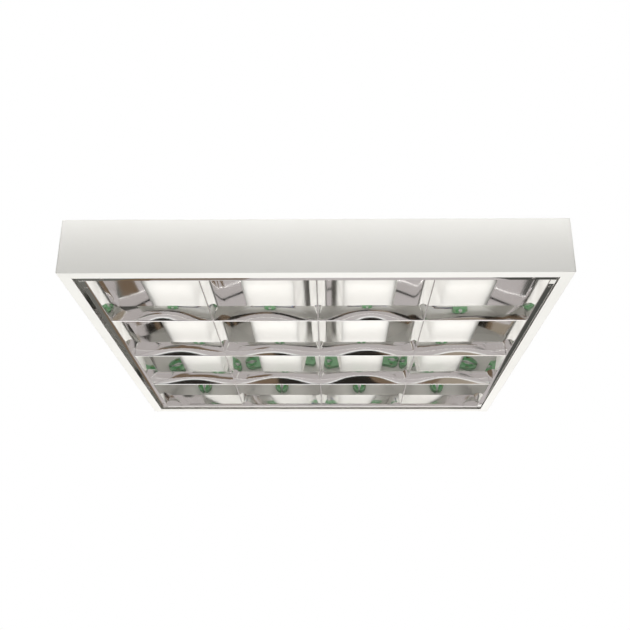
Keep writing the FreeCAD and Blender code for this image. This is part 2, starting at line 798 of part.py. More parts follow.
def terminal_block():
    """Three pole terminal block with ears, wire entries and screw wells."""
    body = new_body("terminal_block")
    base = rectangle(sketch_on(body, "XY_Plane"), -block_width / 2, -block_depth / 2,
                     block_width / 2, block_depth / 2)
    pad(body, base, block_height, "One side", True)
    ear_reach = block_width / 2 + block_ear
    ears = rectangle(sketch_on(body, "XY_Plane"), -ear_reach, -block_ear / 2, ear_reach, block_ear / 2)
    pad(body, ears, block_ear_sheet, "One side", True)
    grooves = sketch_on(body, "XZ_Plane")
    entries = sketch_on(body, "XZ_Plane")
    wells = sketch_on(body, "XY_Plane", -block_height)
    half_entry = pole_wire_pitch / 2 + wire_radius + wire_fit
    for step in (-1, 0, 1):
        rectangle(entries, pole_pitch * step - half_entry, -pole_drop - wire_radius - wire_fit,
                  pole_pitch * step + half_entry, -pole_drop + wire_radius + wire_fit)
        for side in (-1, 1):
            circle(wells, pole_pitch * step, block_depth / 4 * side, screw_radius + wire_fit)
    for side in (-1, 1):
        middle = pole_pitch / 2 * side
        rectangle(grooves, middle - barrier_width / 2, -block_height - barrier_width,
                  middle + barrier_width / 2, barrier_depth - block_height)
    pocket(body, grooves, side="Symmetric")
    pocket(body, entries, side="Symmetric")
    pocket(body, wells, screw_depth, backwards=True)
    holes = sketch_on(body, "XY_Plane")
    for side in (-1, 1):
        circle(holes, (block_width / 2 + block_ear / 2) * side, 0, rivet_radius + rivet_fit)
    pocket(body, holes, 2 * block_ear_sheet)
    place(body, 0, -block_y, back_face)


def terminal_screws():
    """Slotted clamping screws in the terminal block's wells."""
    bottom = back_face - block_height + screw_depth
    screws = []
    for step in (-1, 0, 1):
        for side in (-1, 1):
            x = pole_pitch * step
            y = block_depth / 4 * side - block_y
            shank = rod((x, y, bottom), (0, 0, -1), screw_radius, screw_length)
            slot = block((x - screw_radius, y - screw_slot / 2, bottom - screw_length),
                         (x + screw_radius, y + screw_slot / 2, bottom - screw_length + screw_slot))
            screws.append(without(shank, slot))
    group("terminal_screws", screws)


def block_rivets():
    """Rivets through the terminal block's ears, flush with the ceiling face."""
    grip = steel_sheet + block_ear_sheet
    group("block_rivets", [rivet((x, y, as_size(0)), (0, 0, -1), grip) for x, y in block_rivet_points()])


def earth_point():
    """Welded earth stud with its toothed washer, cable lug and nut."""
    down = (0, 0, -1)
    top = (stud_x, -stud_y, back_face)
    node(rod(top, down, stud_radius, stud_length), "earth_stud")
    hole = stud_radius + running_gap
    ring = rod(top, down, washer_radius, washer_sheet)
    node(without(ring, rod(top, down, hole, washer_sheet)), "earth_washer")
    lug_top = along(top, down, washer_sheet)
    towards_block = (0, 1, 0)
    barrel_start = (stud_x, lug_reach - stud_y, lug_barrel_z)
    tongue = block((stud_x - barrel_radius, -stud_y, lug_top[2] - lug_sheet),
                   (stud_x + barrel_radius, lug_reach + lug_sheet - stud_y, lug_top[2]))
    tube = rod(barrel_start, towards_block, barrel_radius, lug_barrel_length)
    plate = united([rod(lug_top, down, lug_radius, lug_sheet), tongue, tube])
    bore = rod(along(barrel_start, towards_block, lug_sheet), towards_block,
               wire_radius + wire_fit, lug_barrel_length)
    opened = without(plate, united([bore, rod(lug_top, down, hole, lug_sheet)]))
    node(opened, "earth_lug")
    nut = new_body("earth_nut")
    corner = nut_flats / math.sqrt(3)
    hexagon = [
        (corner * math.cos(math.radians(60 * step)), corner * math.sin(math.radians(60 * step)))
        for step in range(6)
    ]
    sides = outline(sketch_on(nut, "XY_Plane"), hexagon)
    pad(nut, circle(sides, 0, 0, hole), nut_height, "One side", True)
    place(nut, *along(lug_top, down, lug_sheet))


def cable_bush():
    """Bush of the cable entry, flush with the ceiling face, its flange inside."""
    down = (0, 0, -1)
    neck = rod((0, 0, 0), down, bush_neck_radius, steel_sheet + bush_flange_height / 2)
    flange = taper((0, 0, back_face), down, bush_flange_radius,
                   bush_flange_radius - bush_flange_height / 2, bush_flange_height)
    bore = rod((0, 0, 0), down, bush_bore_radius, steel_sheet + bush_flange_height)
    node(without(united([neck, flange]), bore), "cable_bush")


def wire(points):
    """An insulated wire along straight runs joined by tangent arcs."""
    corners = [FreeCAD.Vector(*(as_size(value).value for value in spot)) for spot in points]
    edges = []
    start = corners[0]
    for before, corner, after in zip(corners, corners[1:], corners[2:]):
        way_in = corner - before
        way_out = after - corner
        reach = BEND_SHARE * min(way_in.Length, way_out.Length)
        way_in.normalize()
        way_out.normalize()
        first = corner - way_in * reach
        last = corner + way_out * reach
        turn = way_in.getAngle(way_out)
        inwards = (way_out - way_in).normalize()
        radius = reach / math.tan(turn / 2)
        middle = corner + inwards * (radius / math.cos(turn / 2) - radius)
        edges.append(Part.LineSegment(start, first).toShape())
        edges.append(Part.Arc(first, middle, last).toShape())
        start = last
    edges.append(Part.LineSegment(start, corners[-1]).toShape())
    path = Part.Wire(edges)
    ring = Part.Circle(corners[0], corners[1] - corners[0], wire_radius.value)
    solid = path.makePipeShell([Part.Wire(ring.toShape())], True, False)
    wanted = math.pi * wire_radius.value ** 2 * path.Length
    if abs(solid.Volume / wanted - 1) > 0.01:
        raise ValueError(f"a wire's volume is {solid.Volume:.1f}, not {wanted:.1f}")
    piece = doc.addObject("Part::Feature", "Wire")
    piece.Shape = solid
    return piece


def feed_wire(start_x, holder_x, hole_y, hole_z):
    """Wire from the terminal block along the back and into the side of a near holder."""
    side = 1 if holder_x.value > 0 else -1
    entry = -(holder_face + hole_y)
    height = hole_z - lamp_drop
    terminal = back_face - pole_drop
    leave = -(block_y + block_depth / 2)
    end_x = holder_x - (holder_width / 2 - wire_entry) * side
    return wire([
        (start_x, leave + wire_entry, terminal),
        (start_x, leave - wire_straight, terminal),
        (start_x, leave - wire_straight - wire_slope, run_level),
        (start_x, entry + wire_turn + wire_slope, run_level),
        (start_x, entry + wire_turn, height),
        (start_x, entry, height),
        (end_x, entry, height),
    ])


def link_wire(inner_x, outer_x, hole_y, hole_z):
    """Wire from one near holder to the next, bowed up under the rail."""
    side = 1 if outer_x.value > 0 else -1
    entry = -(holder_face + hole_y)
    height = hole_z - lamp_drop
    start = inner_x + (holder_width / 2 - wire_entry) * side
    end = outer_x - (holder_width / 2 - wire_entry) * side
    bend = wire_turn * side
    rise = (wire_turn + wire_slope) * side
    return wire([
        (start, entry, height),
        (start + bend, entry, height),
        (start + rise, entry, link_level),
        (end - rise, entry, link_level),
        (end - bend, entry, height),
        (end, entry, height),
    ])


def wiring():
    """Line and neutral wires to the near holders, and the earth wire."""
    far_left, left, right, far_right = lamp_columns
    for label, pole, hole_y, hole_z in (
        ("line_wires", -pole_pitch, line_hole_y, line_hole_z),
        ("neutral_wires", as_size(0), neutral_hole_y, neutral_hole_z),
    ):
        group(label, [
            feed_wire(pole - pole_wire_pitch / 2, left, hole_y, hole_z),
            feed_wire(pole + pole_wire_pitch / 2, right, hole_y, hole_z),
            link_wire(left, far_left, hole_y, hole_z),
            link_wire(right, far_right, hole_y, hole_z),
        ])
    leave = -(block_y + block_depth / 2)
    barrel_mouth = lug_reach + lug_barrel_length - stud_y
    earth = wire([
        (pole_pitch, leave + wire_entry, back_face - pole_drop),
        (pole_pitch, leave - wire_entry, back_face - pole_drop),
        (stud_x, barrel_mouth + wire_entry, lug_barrel_z),
        (stud_x, barrel_mouth - wire_entry, lug_barrel_z),
    ])
    node(earth, "earth_wire")


def clip(centres, along_axis, low, high, middle, top):
    """A saddle clip: a block across parallel wires with a hole for each."""
    reach = clip_length / 2
    drop = clip_seat + 2 * (wire_radius + wire_fit) + clip_wall
    if along_axis == "y":
        saddle = block((low, middle - reach, top - drop), (high, middle + reach, top))
        holes = [rod((spot[0], middle - reach, spot[1]), (0, 1, 0), wire_radius + wire_fit, clip_length)
                 for spot in centres]
    else:
        saddle = block((middle - reach, low, top - drop), (middle + reach, high, top))
        holes = [rod((middle - reach, spot[0], spot[1]), (1, 0, 0), wire_radius + wire_fit, clip_length)
                 for spot in centres]
    return without(saddle, united(holes))


def wire_clips():
    """Clips on the back for the long run, and clips under the near rail for the links."""
    spread = pole_wire_pitch / 2
    lanes = [-pole_pitch - spread, -pole_pitch + spread, -spread, spread]
    edge = wire_radius + wire_fit + clip_wall
    group("run_clips", [
        clip([(x, run_level) for x in lanes], "y", lanes[0] - edge, lanes[-1] + edge,
             -(first_clip_y + clip_pitch * step), back_face)
        for step in range(3)
    ])
    line_y = -(holder_face + line_hole_y)
    neutral_y = -(holder_face + neutral_hole_y)
    group("rail_clips", [
        clip([(line_y, link_level), (neutral_y, link_level)], "x", neutral_y - edge, line_y + edge,
             lamp_pitch * side, rail_face)
        for side in (-1, 1)
    ])


def hinge_bracket(name, sign):
    """Angle bracket on the housing side that carries a hinge pin."""
    body = new_body(f"hinge_bracket_{name}")
    top = bracket_base + bracket_height
    eye = circle(sketch_on(body, "XZ_Plane", -bracket_low), hinge_x, hinge_z, bracket_eye)
    pad(body, eye, bracket_sheet, "One side", True)
    ear = outline(sketch_on(body, "XZ_Plane", -bracket_low), [
        (hinge_x, bracket_base), (side_face, bracket_base), (side_face, top),
        (side_face - bracket_height, top), (hinge_x, hinge_z + bracket_eye),
    ])
    pad(body, ear, bracket_sheet, "One side", True)
    foot = rectangle(sketch_on(body, "YZ_Plane", side_face), bracket_high - bracket_length,
                     bracket_base, bracket_high, top)
    pad(body, foot, bracket_sheet, "One side", True)
    bore = circle(sketch_on(body, "XZ_Plane"), hinge_x, hinge_z, hinge_pin_radius + running_gap)
    pocket(body, bore)
    rivets = sketch_on(body, "YZ_Plane", side_face)
    for y, z in bracket_rivet_points(1):
        circle(rivets, y, z, rivet_radius + rivet_fit)
    pocket(body, rivets, 2 * bracket_sheet)
    if sign < 0:
        mirror_to_near(body)


def mirror_to_near(body):
    """Mirror a body drawn for the far end into the near end, in place."""
    doc.recompute()
    label = body.Label
    nodes.remove(body)
    body.Label = f"{label}_drawn_far"
    copy = doc.addObject("Part::Mirroring", label)
    copy.Source = body
    copy.Normal = FreeCAD.Vector(0, 1, 0)
    return node(copy, label)


def hinge_pin(name, sign):
    """Headed pin from the bracket into the louvre's hinge block."""
    at = (hinge_x, (bracket_high + hinge_head) * sign, hinge_z)
    axis = (0, -sign, 0)
    head = rod(at, axis, hinge_head_radius, hinge_head)
    length = hinge_head + bracket_high - gusset_out_y + hinge_pin_reach
    node(united([head, rod(at, axis, hinge_pin_radius, length)]), f"hinge_pin_{name}")


def bracket_rivets():
    """Rivets of the hinge brackets, flush with the housing side."""
    rivets = []
    for name, sign in ENDS:
        for y, z in bracket_rivet_points(sign):
            rivets.append(rivet((half_width, y, z), (-1, 0, 0), steel_sheet + bracket_sheet))
    group("bracket_rivets", rivets)


def latch_spring(name, sign):
    """Leaf spring on the housing side that presses on the louvre's rim."""
    body = new_body(f"latch_spring_{name}")
    nose = louvre_shift - lip_side - latch_gap
    wall = -side_face
    top = flange_face + latch_top
    fold = flange_face + latch_fold
    tip = flange_face + latch_nose
    tail = flange_face + latch_tail
    section = outline(sketch_on(body, "XZ_Plane"), [
        (wall, top),
        (wall, fold),
        (nose - LATCH_SLANT * latch_sheet, tip),
        (nose - latch_tail_back - latch_sheet, tail),
        (nose - latch_tail_back, tail),
        (nose, tip),
        (wall + latch_sheet, fold + latch_sheet / 2),
        (wall + latch_sheet, top),
    ])
    pad(body, section, latch_length)
    holes = sketch_on(body, "YZ_Plane", wall)
    line = flange_face + (latch_top + latch_fold) / 2
    for step in (-1, 1):
        circle(holes, latch_rivet_half * step, line, rivet_radius + rivet_fit)
    pocket(body, holes, 2 * latch_sheet, backwards=True)
    place(body, 0, latch_y * sign, 0)


def latch_rivets():
    """Rivets of the latch springs, flush with the housing side."""
    rivets = []
    for name, sign in ENDS:
        for y, z in latch_rivet_points(sign):
            rivets.append(rivet((-half_width, y, z), (1, 0, 0), steel_sheet + latch_sheet))
    group("latch_rivets", rivets)


def louvre_profile(label, step):
    """V profile along the lamps, folded at its lower edge and hollow on both faces."""
    body = new_body(label)
    top = louvre_edge + profile_height
    reach = edge_half + profile_run
    inside = reach - PROFILE_SLANT * louvre_sheet
    valley = louvre_edge + louvre_sheet
    section = outline(sketch_on(body, "XZ_Plane"), [
        (-edge_half, louvre_edge),
        (edge_half, louvre_edge, profile_hollow),
        (reach, top),
        (inside, top, -profile_hollow),
        (0, valley, -profile_hollow),
        (-inside, top),
        (-reach, top, profile_hollow),
    ])
    pad(body, section, 2 * side_lip_end)
    notches = sketch_on(body, "YZ_Plane")
    lap = louvre_edge + lap_height + louvre_gap
    below = louvre_edge - louvre_gap
    for place_step in (-1, 0, 1):
        y = blade_pitch * place_step
        low = blade_at(0) + louvre_gap
        high = blade_at(lap_height) + louvre_gap
        outline(notches, [(y - low, below), (y + low, below), (y + high, lap), (y - high, lap)])
    end_cut(notches, below)
    pocket(body, notches, side="Symmetric")
    place(body, louvre_shift + profile_pitch * step, 0, 0)


def end_cut(sketch, below):
    """Cut a lengthwise profile clear of the end blades, up to their top."""
    start = lip_inner_end - edge_half - end_blade_run - louvre_gap
    over = louvre_edge + blade_height + louvre_gap
    for sign in (-1, 1):
        low, high = (start, lip_end) if sign > 0 else (-lip_end, -start)
        rectangle(sketch, low, below, high, over)


def lip_holes(body, point, *signs):
    """Rivet holes through a lip."""
    holes = sketch_on(body, "XY_Plane", louvre_edge + louvre_sheet)
    for x_sign, y_sign in signs:
        circle(holes, point[0] * x_sign, point[1] * y_sign, rivet_radius + rivet_fit)
    pocket(body, holes, 2 * louvre_sheet)


def side_profile(name, sign):
    """Half of a V profile at the louvre's side, with the side lip and its rim."""
    body = new_body(f"side_profile_{name}")
    top = louvre_edge + profile_height
    lip_top = louvre_edge + louvre_sheet
    reach = lip_inner_side - profile_run
    section = outline(sketch_on(body, "XZ_Plane"), [
        (lip_inner_side, louvre_edge),
        (lip_side, louvre_edge),
        (lip_side, louvre_edge + rim_height),
        (lip_side - louvre_sheet, louvre_edge + rim_height),
        (lip_side - louvre_sheet, lip_top),
        (lip_inner_side + louvre_sheet, lip_top, -profile_hollow),
        (reach + PROFILE_SLANT * louvre_sheet, top),
        (reach, top, profile_hollow),
    ])
    pad(body, section, 2 * side_lip_end)
    cuts = sketch_on(body, "YZ_Plane")
    tab_half = blade_at(blade_tab_high) + louvre_gap
    for step in (-1, 0, 1):
        y = blade_pitch * step
        rectangle(cuts, y - tab_half, louvre_edge + blade_tab_low - louvre_gap,
                  y + tab_half, louvre_edge + blade_tab_high + louvre_gap)
    end_cut(cuts, lip_top)
    pocket(body, cuts, side="Symmetric")
    if sign > 0:
        seats = sketch_on(body, "XY_Plane")
        start = side_lip_end - hinge_block_show
        for low, high in ((start, lip_end), (-lip_end, -start)):
            rectangle(seats, lip_inner_side + louvre_sheet + louvre_gap, low,
                      lip_side + louvre_gap, high)
        pocket(body, seats)
    lip_holes(body, gusset_rivet_points()[0], (1, 1), (1, -1))
    place(body, louvre_shift, 0, 0, 0 if sign > 0 else 180)


def cross_blade(label, step):
    """Folded blade across the lamps, notched for the V profiles, with an end tab each side."""
    body = new_body(label)
    top = louvre_edge + blade_height
    inside = blade_half - louvre_sheet
    valley = louvre_edge + louvre_sheet
    section = outline(sketch_on(body, "YZ_Plane"), [
        (-edge_half, louvre_edge),
        (edge_half, louvre_edge, -blade_bulge),
        (blade_half, top),
        (inside, top, blade_bulge),
        (0, valley, blade_bulge),
        (-inside, top),
        (-blade_half, top, -blade_bulge),
    ])
    pad(body, section, 2 * lip_inner_side)
    cuts = sketch_on(body, "XZ_Plane")
    lap = louvre_edge + lap_height
    above = top + louvre_gap
    low = edge_half + profile_at(lap_height) + louvre_gap
    high = edge_half + profile_at(blade_height) + louvre_gap
    for place_step in (-1, 0, 1):
        x = profile_pitch * place_step
        outline(cuts, [(x - low, lap), (x + low, lap), (x + high, above), (x - high, above)])
    for side in (-1, 1):
        tab_low = louvre_edge + blade_tab_low
        tab_high = louvre_edge + blade_tab_high
        edge_x = (lip_inner_side - louvre_gap) * side
        low_x = (lip_inner_side - profile_at(blade_tab_low) - louvre_gap) * side
        mid_x = (lip_inner_side - profile_at(blade_tab_high) - louvre_gap) * side
        high_x = (lip_inner_side - profile_at(blade_height) - louvre_gap) * side
        out_x = lip_side * side
        corners = [(edge_x, louvre_edge - louvre_gap), (out_x, louvre_edge - louvre_gap),
                   (out_x, tab_low), (low_x, tab_low)]
        outline(cuts, corners if side > 0 else corners[::-1])
        corners = [(mid_x, tab_high), (out_x, tab_high), (out_x, above), (high_x, above)]
        outline(cuts, corners if side > 0 else corners[::-1])
    pocket(body, cuts, side="Symmetric")
    place(body, louvre_shift, blade_pitch * step, 0)


def end_blade(name, sign):
    """Half of a cross blade at the louvre's end, with the end lip and its rim."""
    body = new_body(f"end_blade_{name}")
    top = louvre_edge + blade_height
    lip_top = louvre_edge + louvre_sheet
    foot = lip_inner_end - edge_half
    lean = foot - end_blade_run
    section = outline(sketch_on(body, "YZ_Plane"), [
        (foot, louvre_edge),
        (lip_end, louvre_edge),
        (lip_end, louvre_edge + rim_height),
        (lip_end - louvre_sheet, louvre_edge + rim_height),
        (lip_end - louvre_sheet, lip_top),
        (foot + louvre_sheet, lip_top, end_blade_bulge),
        (lean + louvre_sheet, top),
        (lean, top, -end_blade_bulge),
    ])
    pad(body, section, louvre_width)
    relief = sketch_on(body, "XZ_Plane")
    start = lip_inner_side - louvre_gap
    for low, high in ((start, lip_side + louvre_gap), (-lip_side - louvre_gap, -start)):
        rectangle(relief, low, lip_top, high, top + louvre_gap)
    pocket(body, relief, side="Symmetric")
    lip_holes(body, gusset_rivet_points()[1], (1, 1), (-1, 1))
    place(body, louvre_shift, 0, 0, 0 if sign > 0 else 180)


def gusset_outline(sketch):
    """Corner plate on top of the lips, in the far right corner."""
    return outline(sketch, [
        (gusset_out_x - gusset_arm, gusset_in_y),
        (gusset_in_x, gusset_in_y),
        (gusset_in_x, gusset_out_y - gusset_arm),
        (gusset_out_x, gusset_out_y - gusset_arm),
        (gusset_out_x, gusset_out_y),
        (gusset_out_x - gusset_arm, gusset_out_y),
    ])


def gusset_rivet_points():
    """Places of the two rivets through a corner plate, in the far right corner."""
    middle_x = (gusset_in_x + gusset_out_x) / 2
    middle_y = (gusset_in_y + gusset_out_y) / 2
    reach = gusset_arm - gusset_rivet
    return [(middle_x, gusset_out_y - reach), (gusset_out_x - reach, middle_y)]


def corner_plate(label):
    """Body of a corner plate with its rivet holes."""
    body = doc.addObject("PartDesign::Body", label)
    base = louvre_edge + louvre_sheet
    pad(body, gusset_outline(sketch_on(body, "XY_Plane", base)), gusset_sheet, "One side")
    holes = sketch_on(body, "XY_Plane", gusset_top)
    for x, y in gusset_rivet_points():
        circle(holes, x, y, rivet_radius + rivet_fit)
    pocket(body, holes, 2 * gusset_sheet)
    return body


def corner_gussets():
    """Plates in the louvre's corners on the latch side."""
    far = place(corner_plate("gusset_far"), louvre_shift, 0, 0)
    doc.recompute()
    plates = []
    for name, sign in ENDS:
        flipped = doc.addObject("Part::Mirroring", f"gusset_{name}_side")
        flipped.Source = far
        flipped.Normal = FreeCAD.Vector(1, 0, 0)
        flipped.setExpression("Base.x", louvre_shift.text)
        if sign < 0:
            turned = doc.addObject("Part::Mirroring", "gusset_near_end")
            turned.Source = flipped
            turned.Normal = FreeCAD.Vector(0, 1, 0)
            flipped = turned
        plates.append(flipped)
    group("corner_gussets", plates)


def hinge_block(name, sign):
    """Corner plate on the hinge side with the block that turns on the hinge pin."""
    body = node(corner_plate(f"hinge_block_{name}"), f"hinge_block_{name}")
    show_end = side_lip_end - louvre_gap
    show_start = side_lip_end - hinge_block_show + louvre_gap
    base = louvre_edge + louvre_sheet
    bearing = rectangle(sketch_on(body, "XY_Plane", base), gusset_in_x, show_start,
                        gusset_out_x, gusset_out_y)
    pad(body, bearing, hinge_block_height - louvre_sheet, "One side")
    shown = rectangle(sketch_on(body, "XY_Plane", base), gusset_in_x, show_start,
                      gusset_out_x, show_end)
    pad(body, shown, louvre_sheet, "One side", True)
    bore = circle(sketch_on(body, "XZ_Plane", -gusset_out_y), hinge_x - louvre_shift, hinge_z,
                  hinge_pin_radius + running_gap)
    pocket(body, bore, hinge_pin_reach + louvre_gap, backwards=True)
    place(body, louvre_shift, 0, 0)
    if sign < 0:
        mirror_to_near(body)


def louvre_rivets():
    """Rivets through the lips and the corner plates, flush below."""
    grip = louvre_sheet + gusset_sheet
    rivets = []
    for x, y in gusset_rivet_points():
        for side in (-1, 1):
            for name, sign in ENDS:
                at = (x * side + louvre_shift, y * sign, louvre_edge)
                rivets.append(rivet(at, (0, 0, 1), grip))
    group("louvre_rivets", rivets)


def build():
    """Make every piece of the light."""
    housing_tray()
    for name, sign in ENDS:
        end_plate(name, sign)
        holder_rail(name, sign)
    frame_rivets()
    for name, sign in ENDS:
        for number, x in enumerate(lamp_columns, 1):
            lampholder(f"lampholder_{name}_{number}", x, sign)
            rotor(f"rotor_{name}_{number}", x, sign)
    lamp_contacts()
    terminal_block()
    terminal_screws()
    block_rivets()
    earth_point()
    cable_bush()
    wiring()
    wire_clips()
    for name, sign in ENDS:
        hinge_bracket(name, sign)
        hinge_pin(name, sign)
        latch_spring(name, sign)
    bracket_rivets()
    latch_rivets()
    for name, step in (("left", -1), ("middle", 0), ("right", 1)):
        louvre_profile(f"louvre_profile_{name}", step)
    for name, sign in (("left", -1), ("right", 1)):
        side_profile(name, sign)
    for name, step in (("near", -1), ("middle", 0), ("far", 1)):
        cross_blade(f"cross_blade_{name}", step)
    for name, sign in ENDS:
        end_blade(name, sign)
        hinge_block(name, sign)
    corner_gussets()
    louvre_rivets()


def check():
    """Stop where a feature failed, cut nothing, or left no valid solid."""
    for item in doc.Objects:
        if "Invalid" in item.State or "Error" in item.State:
            raise ValueError(f"{item.Label} failed: {item.State}")
        if item.TypeId == "PartDesign::Pocket":
            before = item.BaseFeature.Shape.Volume
            if item.Shape.Volume > before - 1e-6:
                raise ValueError(f"{item.Label} cuts nothing")
    for piece in nodes:
        shape = piece.Shape
        if shape.isNull() or not shape.isValid() or not shape.Solids:
            raise ValueError(f"{piece.Label} has no valid solid")


build()
doc.recompute()
check()
os.makedirs("parts", exist_ok=True)
for piece in nodes:
    piece.Shape.exportStep(f"parts/{piece.Label}.step")
print(f"{len(nodes)} nodes written")
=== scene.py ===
"""Looks of a surface mounted ceiling light with a mirror louvre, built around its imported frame."""
from __future__ import annotations

import json
import logging
import math
from collections.abc import Callable, Iterable
from dataclasses import dataclass, field
from enum import Enum

import bmesh
import bpy
from mathutils import Matrix, Vector

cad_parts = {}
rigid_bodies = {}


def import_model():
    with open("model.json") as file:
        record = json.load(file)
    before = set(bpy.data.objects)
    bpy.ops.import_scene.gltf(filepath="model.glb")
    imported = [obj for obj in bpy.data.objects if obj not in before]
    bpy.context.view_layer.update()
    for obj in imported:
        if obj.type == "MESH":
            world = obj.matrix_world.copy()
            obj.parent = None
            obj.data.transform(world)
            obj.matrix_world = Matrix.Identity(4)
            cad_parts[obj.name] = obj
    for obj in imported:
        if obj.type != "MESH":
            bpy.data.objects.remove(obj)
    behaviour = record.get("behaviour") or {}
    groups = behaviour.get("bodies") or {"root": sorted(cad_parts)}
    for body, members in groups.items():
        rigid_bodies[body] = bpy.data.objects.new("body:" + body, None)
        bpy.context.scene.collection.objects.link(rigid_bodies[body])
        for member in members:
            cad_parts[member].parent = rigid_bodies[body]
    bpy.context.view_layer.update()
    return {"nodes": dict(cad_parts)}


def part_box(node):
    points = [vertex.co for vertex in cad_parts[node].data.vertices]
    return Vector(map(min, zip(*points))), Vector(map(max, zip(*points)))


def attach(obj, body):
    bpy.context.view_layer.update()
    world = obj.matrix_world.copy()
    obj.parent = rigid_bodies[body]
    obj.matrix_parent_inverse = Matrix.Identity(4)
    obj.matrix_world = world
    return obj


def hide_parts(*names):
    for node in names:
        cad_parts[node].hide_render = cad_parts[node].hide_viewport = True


for leftover in list(bpy.data.objects):
    bpy.data.objects.remove(leftover)
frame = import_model()

LOG = logging.getLogger("ceiling_light")
MM = 0.001
WELD = 0.001 * MM
FOLD_ANGLE = math.radians(20)
FOLD_SEGMENTS = 4
SHARP_ANGLE = math.radians(32)
TURN_STEPS = 24
COAT_IOR = 1.5
TONE_SPAN = (0.35, 0.65)
GLOSS_SPAN = (0.3, 0.7)
X_AXIS = Vector((1, 0, 0))
Y_AXIS = Vector((0, 1, 0))
Z_AXIS = Vector((0, 0, 1))
WHITE = (1.0, 1.0, 1.0)
NEAR_SIDE = (0.0, -0.31, -0.03)
Colour = tuple[float, float, float]
Place = tuple[float, float, float]
Feed = float | tuple[float, ...] | bpy.types.NodeSocket


def opaque(colour: Colour) -> tuple[float, float, float, float]:
    """Give a colour the alpha that a socket asks for."""
    return (*colour, 1.0)


def middle_of(node: str, axis: int) -> float:
    """Middle of a CAD node along one axis."""
    return sum(corner[axis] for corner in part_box(node)) / 2


class Graph:
    """Nodes and links of one shader tree."""

    def __init__(self, tree: bpy.types.NodeTree) -> None:
        """Start with an empty tree."""
        self.tree = tree
        tree.nodes.clear()

    def add(self, kind: str, inputs: dict | None = None, **settings: object) -> bpy.types.Node:
        """Add a node.

        Args:
            kind: Type name of the node.
            inputs: Socket name or number, with a value or another node's output for it.
            settings: Properties of the node itself.

        Returns:
            The new node.
        """
        node = self.tree.nodes.new(kind)
        for name, value in settings.items():
            setattr(node, name, value)
        for name, value in (inputs or {}).items():
            if isinstance(value, bpy.types.NodeSocket):
                self.tree.links.new(value, node.inputs[name])
            else:
                node.inputs[name].default_value = value
        return node

    def place(self) -> bpy.types.NodeSocket:
        """Place on the piece, in metres."""
        return self.add("ShaderNodeTexCoord").outputs["Object"]

    def math(self, operation: str, first: Feed, second: Feed = 0.0) -> bpy.types.NodeSocket:
        """Work out one step on two values and return the result's socket."""
        node = self.add("ShaderNodeMath", {0: first, 1: second}, operation=operation)
        return node.outputs["Value"]

    def noise(self, place: bpy.types.NodeSocket, scale: Feed, detail: float) -> bpy.types.NodeSocket:
        """Add a noise with so many finer layers and return its value's socket."""
        node = self.add("ShaderNodeTexNoise", {"Vector": place, "Scale": scale, "Detail": detail})
        return node.outputs["Fac"]

    def spread(self, value: Feed, span: tuple[float, float], low: Feed = 0.0,
               high: Feed = 1.0) -> bpy.types.NodeSocket:
        """Stretch a span of a value to run from low to high and return the result's socket."""
        node = self.add("ShaderNodeMapRange", {
            "Value": value, "From Min": span[0], "From Max": span[1], "To Min": low, "To Max": high})
        return node.outputs["Result"]

    def blend(self, share: Feed, first: Feed, second: Feed) -> bpy.types.NodeSocket:
        """Mix two colours by a share and return the result's socket."""
        node = self.add("ShaderNodeMix", {0: share, 6: first, 7: second}, data_type="RGBA")
        return node.outputs[2]

    def bump(self, height: bpy.types.NodeSocket, depth: float) -> bpy.types.NodeSocket:
        """Make a bump of a height and return the normal's socket."""
        node = self.add("ShaderNodeBump", {"Height": height, "Distance": depth, "Strength": 1.0})
        return node.outputs["Normal"]

    def effect(self, tree: bpy.types.NodeTree, inputs: dict) -> bpy.types.NodeSocket:
        """Place a shared effect with values of its own and return its output."""
        return self.add("ShaderNodeGroup", inputs, node_tree=tree).outputs[0]


